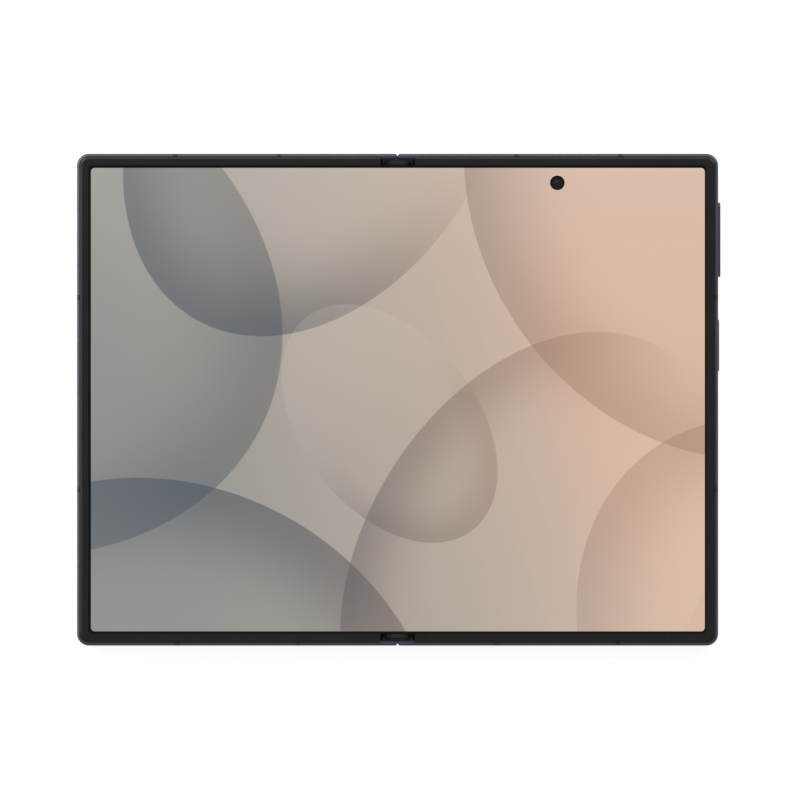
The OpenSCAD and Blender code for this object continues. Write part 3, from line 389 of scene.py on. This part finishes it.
def screen_material(name, from_uv):
    """Lit screen: soft overlapping discs in grey, taupe and peach inside a black border."""
    g = Graph(name)
    if from_uv:
        rest = g.node("ShaderNodeUVMap", {"uv_map": "rest"}).outputs[0]
        to_mm = {"Scale": (REST_SPAN, REST_SPAN, 1), "Location": (-REST_SPAN / 2, -REST_SPAN / 2, 0)}
        place = g.node("ShaderNodeMapping", Vector=rest, **to_mm).outputs[0]
        pixels = g.noise(place, 9.0, 1.0)
    else:
        place = g.node("ShaderNodeMapping", Vector=g.place(), Scale=(1 / MM, 1 / MM, 0)).outputs[0]
        pixels = g.noise(g.place(), 9000.0, 1.0)
    split = g.node("ShaderNodeSeparateXYZ", Vector=place)
    x, y = split.outputs[0], split.outputs[1]
    drift = g.math("ADD", x, g.math("MULTIPLY", y, 0.35))
    color = g.mix(g.ramp(drift, -80, 5), srgb(147, 149, 145), srgb(182, 171, 159))
    color = g.mix(g.ramp(drift, -10, 70), color, srgb(221, 187, 164))
    color = g.mix(g.ramp(y, 10, 90, 0, 0.35), color, srgb(205, 202, 194))
    tint = g.mix(g.ramp(x, -35, 45), SLATE, UMBER)
    for middle, radii, turn, depth in DISCS:
        angle = math.radians(turn)
        moved = g.vector("SUBTRACT", place, (*middle, 0)).outputs[0]
        about_z = {"rotation_type": "Z_AXIS"}
        turned = g.node("ShaderNodeVectorRotate", about_z, Vector=moved, Angle=-angle).outputs[0]
        sized = g.vector("DIVIDE", turned, (*radii, 1)).outputs[0]
        r = g.vector("LENGTH", sized).outputs["Value"]
        along = g.node("ShaderNodeSeparateXYZ", Vector=sized).outputs[0]
        inside = g.ramp(r, 1.002, 0.998, smooth=False)
        edge = g.math("POWER", g.ramp(r, 0.35, 1.0), 2.0)
        side = g.ramp(along, -0.35, 0.95)
        shade = g.math("MULTIPLY", g.math("MULTIPLY", edge, side), g.math("MULTIPLY", inside, depth))
        color = g.mix(shade, color, tint)
        glow = g.math("MULTIPLY", g.math("MULTIPLY", inside, g.ramp(along, 0.2, -0.9)), 0.10)
        color = g.mix(glow, color, srgb(240, 226, 212))
    corner_x, corner_y = [
        g.math("SUBTRACT", g.math("ABSOLUTE", g.math("SUBTRACT", value, ACTIVE_MID[i])), ACTIVE[i] - ACTIVE_R)
        for i, value in enumerate((x, y))
    ]
    out_x, out_y = g.math("MAXIMUM", corner_x, 0.0), g.math("MAXIMUM", corner_y, 0.0)
    outside = g.math("SQRT", g.math("ADD", g.math("POWER", out_x, 2.0), g.math("POWER", out_y, 2.0)))
    within = g.math("MINIMUM", g.math("MAXIMUM", corner_x, corner_y), 0.0)
    lit = g.ramp(g.math("ADD", outside, within), ACTIVE_R + 0.03, ACTIVE_R - 0.03, smooth=False)
    g.plain(
        Base_Color=(0.004, 0.004, 0.0045, 1),
        Roughness=g.spread(pixels, 0.14, 0.18),
        Emission_Color=g.mix(lit, (0.0, 0.0, 0.0), color),
        Emission_Strength=0.97,
        Specular_IOR_Level=0.05,
    )
    return g.material


MATERIALS = {
    "frame_metal": frame_material("frame_metal"),
    "bezel": surface("bezel", srgb(14, 14, 14), 0.28, level=0.14, grain=16000, depth=0.2, vary=0.12),
    "antenna_plastic": surface("antenna_plastic", srgb(40, 41, 45), 0.5, level=0.15, grain=9000),
    "end_cap_plastic": end_cap_material("end_cap_plastic"),
    "screen": screen_material("screen", from_uv=False),
    "back_glass": surface(
        "back_glass", srgb(70, 73, 82), 0.34, level=0.45, grain=26000, depth=0.06, vary=0.03, coat=0.2
    ),
    "cover_glass": cover_material("cover_glass"),
    "lens_glass": glass_material("lens_glass", srgb(10, 12, 20), srgb(20, 16, 34)),
    "flash": surface("flash", srgb(226, 214, 178), 0.22, grain=3000, depth=0.2, vary=0.06),
    "camera_black": surface("camera_black", srgb(20, 20, 22), 0.38, level=0.3, grain=8000, vary=0.15),
    "dark_screen": surface("dark_screen", srgb(9, 9, 12), 0.12, grain=3000, depth=0.02, vary=0.2),
    "hinge_metal": surface(
        "hinge_metal", srgb(47, 49, 64), 0.32, metal=0.75, grain=14000, depth=0.2, vary=0.07
    ),
    "steel": surface("steel", srgb(150, 150, 155), 0.3, metal=1.0, grain=2500, vary=0.08, stretch=(1, 12, 1)),
    "gear_metal": surface(
        "gear_metal", srgb(176, 158, 112), 0.28, metal=1.0, grain=4000, vary=0.08, stretch=(1, 8, 1)
    ),
    "board": board_material("board"),
    "cell_wrap": surface("cell_wrap", srgb(48, 49, 54), 0.3, grain=1800, depth=0.5, vary=0.12),
    "copper": surface("copper", srgb(196, 122, 80), 0.3, metal=1.0, grain=3500, vary=0.1),
    "flex": surface("flex", srgb(150, 98, 44), 0.4, grain=2600, depth=0.2, vary=0.12),
    "speaker_plastic": surface("speaker_plastic", srgb(30, 30, 32), 0.5, grain=5000, vary=0.12),
}
SCREEN_BEND = screen_material("screen_bend", from_uv=True)
POLISHED = surface("ring_metal", srgb(112, 114, 122), 0.2, metal=1.0, grain=9000, depth=0.06, vary=0.05)
CABLE = surface("hinge_cable", srgb(24, 22, 21), 0.45, level=0.2, grain=2600, depth=0.2, vary=0.12)
GOLD = surface("contact_gold", srgb(212, 176, 96), 0.25, metal=1.0, grain=6000, depth=0.1, vary=0.08)

for part in frame["record"]["subparts"]:
    mesh = frame["nodes"][part["node"]].data
    mesh.materials.clear()
    mesh.materials.append(MATERIALS[part["material_slot"]])
frame["nodes"]["hinge_cover"].data.materials[0] = spine_material("hinge_spine")


# Mesh helpers: every size is in mm


def smooth(mesh, sharp_deg):
    """Smooth shading, with edges kept sharp above an angle."""
    for polygon in mesh.polygons:
        polygon.use_smooth = True
    mesh.set_sharp_from_angle(angle=math.radians(sharp_deg))


def finish_piece(name, bm, body, slot, material=None, replaces=()):
    """Makes the scene's piece from a mesh in mm, ties it to its body, gives it its slot's material unless
    another is given, and hides the CAD nodes it replaces.
    """
    bmesh.ops.remove_doubles(bm, verts=bm.verts, dist=MERGE)
    bmesh.ops.recalc_face_normals(bm, faces=bm.faces)
    bmesh.ops.scale(bm, vec=(MM, MM, MM), verts=bm.verts)
    mesh = bpy.data.meshes.new(name)
    bm.to_mesh(mesh)
    bm.free()
    smooth(mesh, SHARP_DEG)
    mesh.materials.append(material or MATERIALS[slot])
    obj = bpy.data.objects.new(name, mesh)
    scene.collection.objects.link(obj)
    if body:
        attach(obj, body)
    if replaces:
        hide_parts(*replaces)
    return obj


def skin(bm, rings, closed=False):
    """Faces between equal rings of points, with a cap at each end unless it closes on itself."""
    made = [[bm.verts.new(p) for p in ring] for ring in rings]
    count = len(made[0])
    pairs = list(zip(made, made[1:])) + ([(made[-1], made[0])] if closed else [])
    for a, b in pairs:
        for i in range(count):
            j = (i + 1) % count
            bm.faces.new((a[i], a[j], b[j], b[i]))
    if not closed:
        bm.faces.new(made[0][::-1])
        bm.faces.new(made[-1])


def lathe(bm, profile, middle, segments, axis="Z"):
    """A turned form from (radius, height) points, which start and end on the axis or make a closed ring."""
    ring_form = min(r for r, _ in profile) > AXIS
    rings = []
    for r, h in profile:
        ring = []
        for i in range(segments):
            a = 2 * math.pi * i / segments
            u, v = max(r, MERGE) * math.cos(a), max(r, MERGE) * math.sin(a)
            p = (u, v, h) if axis == "Z" else (u, h, v)
            ring.append(Vector(middle) + Vector(p))
        rings.append(ring)
    skin(bm, rings, closed=ring_form)


def turned_piece(name, profile, middle, segments, body, slot, material=None, replaces=()):
    """A finished piece from one turned form."""
    bm = bmesh.new()
    lathe(bm, profile, middle, segments)
    finish_piece(name, bm, body, slot, material, replaces)


def pill_ring(width, height, z, middle, segments):
    """Outline with two round ends, long along Y."""
    r = width / 2
    points = []
    for end, start in ((1, 0.0), (-1, math.pi)):
        end_y = middle[1] + end * (height / 2 - r)
        for i in range(segments + 1):
            a = start + math.pi * i / segments
            points.append((middle[0] + r * math.cos(a), end_y + r * math.sin(a), z))
    return points


def span(sign, near, far):
    """The two distances on one side of the middle, the lower value first."""
    return sorted((sign * near, sign * far))


def rounded_box(bm, low, high, edge, steps=2):
    """A box between two corners, with rounded edges."""
    made = bmesh.ops.create_cube(bm, size=1.0)["verts"]
    size = Vector(high) - Vector(low)
    middle = (Vector(high) + Vector(low)) / 2
    for v in made:
        v.co = Vector((v.co.x * size.x, v.co.y * size.y, v.co.z * size.z)) + middle
    edges = list(dict.fromkeys(e for v in made for e in v.link_edges))
    bmesh.ops.bevel(bm, geom=edges, offset=edge, segments=steps, profile=0.5, affect="EDGES")


def cut(obj, cutter):
    """Takes the cutter's form out of a mesh piece."""
    modifier = obj.modifiers.new("cut", "BOOLEAN")
    modifier.operation = "DIFFERENCE"
    modifier.solver = "EXACT"
    modifier.object = cutter
    bpy.context.view_layer.update()
    graph = bpy.context.evaluated_depsgraph_get()
    mesh = bpy.data.meshes.new_from_object(obj.evaluated_get(graph))
    obj.modifiers.clear()
    obj.data = mesh
    bpy.data.objects.remove(cutter)


# Folding strip of the screen and the cable under it, in one half on each side of the fold line


def bending_strip(name, side, reach, z_low, z_high, y_low, y_high, slot, material, replaces):
    """One half of a strip across the fold line, reaching from the fold line towards its half."""
    columns = 60
    bm = bmesh.new()
    rings = []
    for i in range(columns + 1):
        x = side * reach * i / columns
        rings.append([(x, y_low, z_low), (x, y_high, z_low), (x, y_high, z_high), (x, y_low, z_high)])
    skin(bm, rings)
    obj = finish_piece(name, bm, None, slot, material, replaces)
    layer = obj.data.uv_layers.new(name="rest")
    for loop in obj.data.loops:
        co = obj.data.vertices[loop.vertex_index].co
        layer.data[loop.index].uv = (co.x / (REST_SPAN * MM) + 0.5, co.y / (REST_SPAN * MM) + 0.5)
    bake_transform(obj)


cable_low, cable_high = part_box("hinge_flex_cable")
for side, word in HALVES:
    bending_strip(
        f"screen_strip_{word}", side, STRIP_HALF, PANEL_Z, SCREEN_Z, -STRIP_Y, STRIP_Y,
        "screen", SCREEN_BEND, ["display_fold_zone"],
    )
    bending_strip(
        f"hinge_cable_{word}", side, STRIP_HALF, cable_low.z / MM, cable_high.z / MM,
        cable_low.y / MM, cable_high.y / MM, "flex", CABLE, ["hinge_flex_cable"],
    )


# End caps of the hinge: a T with softened edges, a groove across its bar and a low ear on each side

# Half of an end cap's outline: distances from the fold line and from the middle of the hinge
CAP_OUTLINE = [(2.85, 59.0), (2.85, 59.95), (3.2, 59.95), (3.2, 60.38)]
CAP_Z = (LIFT + 2.6, LIFT + 4.65)
EAR_X = (2.95, 3.98)
EAR_Y = (59.02, 59.9)
EAR_Z = (LIFT + 2.62, LIFT + 3.95)
GROOVE_X = 3.5
GROOVE_Y = (60.12, 60.24)
GROOVE_Z = (LIFT + 4.35, LIFT + 5.0)


def end_cap(bm, sign):
    """The T of one end cap: a narrow stem towards the screen under a wider bar."""
    outline = [(-x, y) for x, y in reversed(CAP_OUTLINE)] + CAP_OUTLINE
    before = set(bm.verts)
    low, high = [[bm.verts.new((x, sign * y, z)) for x, y in outline] for z in CAP_Z]
    count = len(outline)
    for i in range(count):
        j = (i + 1) % count
        bm.faces.new((low[i], low[j], high[j], high[i]))
    bm.faces.new(low[::-1])
    bm.faces.new(high)
    fresh = [v for v in bm.verts if v not in before]
    edges = [e for e in bm.edges if e.verts[0] in fresh and e.verts[1] in fresh]
    bmesh.ops.bevel(bm, geom=edges, offset=0.1, segments=2, profile=0.6, affect="EDGES")


caps = bmesh.new()
for sign in (1, -1):
    end_cap(caps, sign)
    for side in (1, -1):
        near, far = span(side, *EAR_X)
        low_y, high_y = span(sign, *EAR_Y)
        rounded_box(caps, (near, low_y, EAR_Z[0]), (far, high_y, EAR_Z[1]), 0.08)
cap_piece = finish_piece("end_caps", caps, None, "end_cap_plastic")
grooves = bmesh.new()
for sign in (1, -1):
    low_y, high_y = span(sign, *GROOVE_Y)
    rounded_box(grooves, (-GROOVE_X, low_y, GROOVE_Z[0]), (GROOVE_X, high_y, GROOVE_Z[1]), 0.02, 1)
cut(cap_piece, finish_piece("groove_cutter", grooves, None, "end_cap_plastic"))
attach(cap_piece, "hinge")
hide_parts("hinge_end_caps")


# Thin lips beside the ends of the folding strip, which close the view into the fold when the phone is shut

LIP_X = (1.6, 4.2)
LIP_Y = (58.93, 58.99)

for side, word in HALVES:
    bm = bmesh.new()
    for sign in (1, -1):
        near, far = span(side, *LIP_X)
        low_y, high_y = span(sign, *LIP_Y)
        rounded_box(bm, (near, low_y, PANEL_Z + 0.05), (far, high_y, BEZEL_TOP), 0.01, 1)
    finish_piece(f"screen_lips_{word}", bm, f"{word}_half", "bezel")


# Inner camera behind the hole in the screen

RING_BLACK = surface("ring_black", srgb(6, 6, 6), 0.3, level=0.03)
FUNNEL_GREY = surface("funnel_grey", srgb(16, 16, 17), 0.45, level=0.06)
# Profiles of the ring and of the funnel inside it: radius, and depth below the screen
RING = [(1.83, 0.9), (1.83, 0.03), (1.80, 0.01), (1.55, 0.01), (1.50, 0.06), (1.50, 0.9)]
FUNNEL = [(1.52, 0.9), (1.52, 0.14), (1.10, 0.20), (0.98, 0.20), (0.92, 0.26), (0.80, 0.26), (0.80, 0.9)]
CAMERA_HALF = 3.5

bm = bmesh.new()
low = (PUNCH[0] - CAMERA_HALF, PUNCH[1] - CAMERA_HALF, LIFT + 1.0)
high = (PUNCH[0] + CAMERA_HALF, PUNCH[1] + CAMERA_HALF, LIFT + 3.3)
rounded_box(bm, low, high, 0.2)
finish_piece("inner_camera_body", bm, "right_half", "camera_black", replaces=["inner_camera"])
for word, profile, material in (("ring", RING, RING_BLACK), ("funnel", FUNNEL, FUNNEL_GREY)):
    from_screen = [(r, SCREEN_Z - depth) for r, depth in profile]
    turned_piece(
        f"inner_camera_{word}", from_screen, (*PUNCH, 0), 64, "right_half", "camera_black", material
    )


def domed_profile(radius, base, rim, rise):
    """A lens element: a short barrel from its base to its rim, with a shallow dome over the rim."""
    steps = 8
    profile = [(AXIS, base), (radius, base), (radius, rim)]
    for i in range(1, steps + 1):
        a = math.pi / 2 * i / steps
        profile.append((radius * math.cos(a), rim + rise * math.sin(a)))
    return profile


def lens_material(name, middle, radius, deep, rim, painted_glints):
    """Coated lens element: dark in the middle, with a coloured rim and painted glints, coloured spots that
    stand in for reflections.
    """
    g = Graph(name)
    place = g.place()
    flat = g.node("ShaderNodeMapping", Vector=place, Scale=(1, 1, 0)).outputs[0]
    away = g.vector("DISTANCE", flat, (middle[0] * MM, middle[1] * MM, 0)).outputs["Value"]
    r = g.math("DIVIDE", away, radius * MM)
    color = g.mix(g.ramp(r, 0.35, 0.9), deep, rim)
    # Each painted glint is a coloured spot of painted reflection on the lens
    for (x, y), size, painted_glint in painted_glints:
        at = ((middle[0] + x * radius) * MM, (middle[1] + y * radius) * MM, 0)
        spot = g.math("DIVIDE", g.vector("DISTANCE", flat, at).outputs["Value"], radius * MM)
        color = g.mix(g.ramp(spot, size, 0.4 * size), color, painted_glint)
    g.plain(Base_Color=color, Roughness=g.spread(g.noise(place, 3000), 0.06, 0.1), Specular_IOR_Level=0.12)
    return g.material


INNER_LENS_R = 0.82
INNER_LENS_Z = SCREEN_Z - 0.27
# Painted glints on the inner lens, each a painted reflection: its place, its size and its colour
INNER_PAINTED_GLINTS = [((-0.3, 0.25), 0.34, srgb(34, 54, 80)), ((0.45, -0.3), 0.3, srgb(34, 31, 58))]

turned_piece(
    "inner_camera_lens", domed_profile(INNER_LENS_R, INNER_LENS_Z - 0.4, INNER_LENS_Z, 0.12),
    (*PUNCH, 0), 48, "right_half", "camera_black",
    lens_material("inner_lens", PUNCH, INNER_LENS_R, srgb(7, 8, 10), srgb(12, 12, 16), INNER_PAINTED_GLINTS),
)


# Camera island on the back: a rounded plate with two stepped rings, their lenses and the flash


def hole_profile(radius):
    """Cylinder that goes right through the island."""
    return [(AXIS, -1), (radius, -1), (radius, 4), (AXIS, 4)]


def island_plate():
    """Rounded plate with a hole for each lens and one for the flash."""
    bm = bmesh.new()
    base = LIFT - 1.2
    rounding = [(1.1, base), (0.62, base + 0.02), (0.3, base + 0.1), (0.1, base + 0.26), (0.0, base + 0.5)]
    foot = [(0.0, LIFT), (0.95, LIFT), (0.95, LIFT + 0.4)]
    rings = []
    for inset, z in rounding + foot:
        rings.append(pill_ring(ISLAND_W - 2 * inset, ISLAND_H - 2 * inset, z, ISLAND, 40))
    skin(bm, rings)
    holes = bmesh.new()
    for y in LENS_Y.values():
        lathe(holes, hole_profile(LENS_HOLE_R), (ISLAND[0], y, 0), 96)
    lathe(holes, hole_profile(FLASH_HOLE_R), (*ISLAND, 0), 64)
    plate = finish_piece("island_plate", bm, None, "frame_metal")
    cutter = finish_piece("island_cutter", holes, None, "frame_metal")
    cut(plate, cutter)
    smooth(plate.data, ISLAND_SHARP_DEG)
    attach(plate, "right_half")
    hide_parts("camera_island")


island_plate()

# Profiles of one rear lens, from the outside in: radius, and height above the table
LENS_RING = [
    (5.03, 0.16), (5.12, 0.06), (5.25, 0.0), (5.95, 0.0), (6.2, 0.05), (6.36, 0.18),
    (6.4, 0.34), (6.4, 0.52), (6.3, 0.60), (6.18, 0.62), (6.18, 2.1), (5.03, 2.1),
]
LENS_FUNNEL = [
    (5.03, 0.50), (4.75, 0.50), (4.55, 0.58), (4.55, 0.66), (4.3, 0.66), (4.1, 0.78),
    (4.1, 0.9), (3.9, 0.9), (3.68, 1.05), (3.68, 2.1), (5.03, 2.1),
]
LENS_BARREL = [
    (3.6, 0.95), (3.5, 0.87), (3.2, 0.87), (3.1, 0.98), (2.8, 0.98),
    (2.7, 1.08), (2.3, 1.16), (2.3, 1.9), (2.3, 4.4), (3.6, 4.4),
]
LENS_COVER = [(AXIS, 0.45), (5.0, 0.45), (5.0, 0.11), (4.94, 0.05), (AXIS, 0.05)]
LENS_R = 2.32
LENS_ELEMENT = domed_profile(LENS_R, 2.1, 1.35, -0.35)
# Painted glints on each rear lens, each a painted reflection: its place, its size and its colour
LENS_PAINTED_GLINTS = [((-0.35, 0.3), 0.4, srgb(44, 62, 120)), ((0.4, -0.3), 0.3, srgb(70, 44, 104))]

for body, y in LENS_Y.items():
    word = body.split("_")[0]
    middle = (ISLAND[0], y, 0)
    turned_piece(f"lens_ring_{word}", LENS_RING, middle, 96, "right_half", "frame_metal", POLISHED)
    turned_piece(f"lens_funnel_{word}", LENS_FUNNEL, middle, 96, "right_half", "camera_black")
    barrel = [f"{word}_lens_barrel"]
    turned_piece(f"lens_barrel_{word}", LENS_BARREL, middle, 80, body, "camera_black", replaces=barrel)
    coated = lens_material(
        f"{word}_element", middle[:2], LENS_R, srgb(8, 9, 13), srgb(26, 34, 62), LENS_PAINTED_GLINTS
    )
    turned_piece(f"lens_element_{word}", LENS_ELEMENT, middle, 64, body, "camera_black", coated)
    # The CAD node holds both cover glasses, so only the first of the two pieces replaces it
    covers = ["camera_lens_covers"] if word == "main" else ()
    turned_piece(f"lens_cover_{word}", LENS_COVER, middle, 96, "right_half", "lens_glass", replaces=covers)

# Flash lens: its radius, the height of its face, and the rings cut into that face
FLASH_R = 1.7
FLASH_Z = LIFT - 1.1
FLASH_RINGS = 6
FLASH_RING_STEP = 0.25

flash_profile = [(AXIS, FLASH_Z + 1.2), (FLASH_R, FLASH_Z + 1.2), (FLASH_R, FLASH_Z + 0.03)]
for i in range(FLASH_RINGS):
    r = 1.55 - FLASH_RING_STEP * i
    flash_profile += [(r, FLASH_Z), (r - 0.2, FLASH_Z + 0.07)]
flash_profile.append((AXIS, FLASH_Z + 0.02))
turned_piece("flash_fresnel", flash_profile, (*ISLAND, 0), 56, "right_half", "flash", replaces=["flash_lens"])


# Gold contacts on the tongue of the charging socket

CONTACT_COUNT = 12
CONTACT_STEP = 0.5
CONTACT_HALF = 0.12
CONTACT_Y = (-60.5, -57.2)
CONTACT_T = 0.03

bm = bmesh.new()
for i in range(CONTACT_COUNT):
    x = USB_X + (i - (CONTACT_COUNT - 1) / 2) * CONTACT_STEP
    for z in (PORT_Z - 0.375, PORT_Z + 0.345):
        low, high = (x - CONTACT_HALF, CONTACT_Y[0], z), (x + CONTACT_HALF, CONTACT_Y[1], z + CONTACT_T)
        rounded_box(bm, low, high, 0.01, 1)
finish_piece("socket_contacts", bm, "right_half", "steel", GOLD)


# Woven dust meshes inside the speaker holes


def mesh_material(name):
    """Woven wire in two directions."""
    g = Graph(name)
    place = g.place()
    waves = []
    for turn in (45, -45):
        turned = g.node("ShaderNodeMapping", Vector=place, Rotation=(0, math.radians(turn), 0)).outputs[0]
        wave = g.node("ShaderNodeTexWave", {"bands_direction": "X"}, Vector=turned, Scale=3200.0)
        waves.append(wave.outputs["Fac"])
    weave = g.math("MAXIMUM", *waves)
    g.plain(Base_Color=g.mix(weave, srgb(14, 14, 15), srgb(62, 63, 67)), Roughness=0.45, Metallic=0.6)
    g.bump(weave, 0.8, 0.00004)
    return g.material


DUST_MESH = mesh_material("dust_mesh")
# One dust mesh: radius, and depth inward from its outer face
MESH_PROFILE = [(AXIS, 0), (0.3, 0.01), (0.47, 0.03), (0.49, 0.12), (AXIS, 0.12)]
MESH_DEPTH = 0.55


def dust_meshes(name, body, places):
    """One mesh in each hole: the places are x, the edge's y and the way inward."""
    bm = bmesh.new()
    for x, y, inward in places:
        profile = [(r, inward * depth) for r, depth in MESH_PROFILE]
        lathe(bm, profile, (x, y + inward * MESH_DEPTH, PORT_Z), 32, axis="Y")
    finish_piece(name, bm, body, "speaker_plastic", DUST_MESH)


steps = [HOLE_STEP * i for i in range(HOLE_COUNT)]
right_holes = [(USB_X + SPEAKER_FROM_SOCKET + step, -EDGE_Y, 1) for step in steps]
right_holes += [(USB_X - MICROPHONE_FROM_SOCKET, -EDGE_Y, 1), (PUNCH[0], EDGE_Y, -1)]
left_holes = [(-(PUNCH[0] + EARPIECE_FROM_PUNCH + step), EDGE_Y, -1) for step in steps]
left_holes += [(-(LEFT_SPEAKER_X + step), -EDGE_Y, 1) for step in steps]
dust_meshes("dust_meshes_right", "right_half", right_holes)
dust_meshes("dust_meshes_left", "left_half", left_holes)


# Studio: pale floor, white surroundings, a lamp at the left, one at the top and one towards each upper corner


def seen_directly(tree):
    """1 for camera, glossy and transmission rays, and 0 for the rest."""
    path = tree.nodes.new("ShaderNodeLightPath")
    total = path.outputs["Is Camera Ray"]
    for word in ("Is Glossy Ray", "Is Transmission Ray"):
        add = tree.nodes.new("ShaderNodeMath")
        add.operation = "MAXIMUM"
        tree.links.new(total, add.inputs[0])
        tree.links.new(path.outputs[word], add.inputs[1])
        total = add.outputs[0]
    return total


# Strength of the white surroundings for light on the phone, and for rays that see them directly
AMBIENT = 0.3
WHITE = 1.0
# The floor's own glow where rays see it directly, and its depth below the lens rings in metres
FLOOR_GLOW = 0.88
FLOOR_DROP = 0.00003

world = bpy.data.worlds.new("world")
scene.world = world
world.use_nodes = True
tree = world.node_tree
background = tree.nodes["Background"]
background.inputs["Color"].default_value = (1, 1, 1, 1)
strength = tree.nodes.new("ShaderNodeMapRange")
tree.links.new(seen_directly(tree), strength.inputs[0])
strength.inputs[3].default_value = AMBIENT
strength.inputs[4].default_value = WHITE
tree.links.new(strength.outputs[0], background.inputs["Strength"])

bpy.ops.mesh.primitive_plane_add(size=6, location=(0, 0, -FLOOR_DROP))
floor = bpy.context.object
floor.name = "floor"
g = Graph("floor")
shown = g.node("ShaderNodeMapRange")
g.put(shown.inputs[0], seen_directly(g.tree))
shown.inputs[4].default_value = FLOOR_GLOW
tone = g.mix(g.noise(g.place(), 40), (0.175, 0.175, 0.175), (0.185, 0.185, 0.185))
g.plain(Base_Color=tone, Roughness=0.9, Specular_IOR_Level=0.0)
g.plain(Emission_Color=(1, 1, 1, 1), Emission_Strength=shown.outputs[0])
floor.data.materials.append(g.material)


def lamp(name, location, size, power):
    """A round lamp that points at the phone."""
    data = bpy.data.lights.new(name, "AREA")
    data.shape = "DISK"
    data.size = size
    data.energy = power
    obj = bpy.data.objects.new(name, data)
    obj.location = location
    obj.rotation_euler = (-Vector(location)).to_track_quat("-Z", "Y").to_euler()
    scene.collection.objects.link(obj)


lamp("lamp_left", (-1.0, 0.15, 1.0), 0.8, 9.5)
lamp("lamp_top", (0.0, 1.0, 1.0), 0.8, 7.0)
lamp("lamp_corner_left", (-0.92, 0.96, 1.0), 1.1, 24.0)
lamp("lamp_corner_right", (0.94, 0.94, 1.0), 1.1, 15.0)
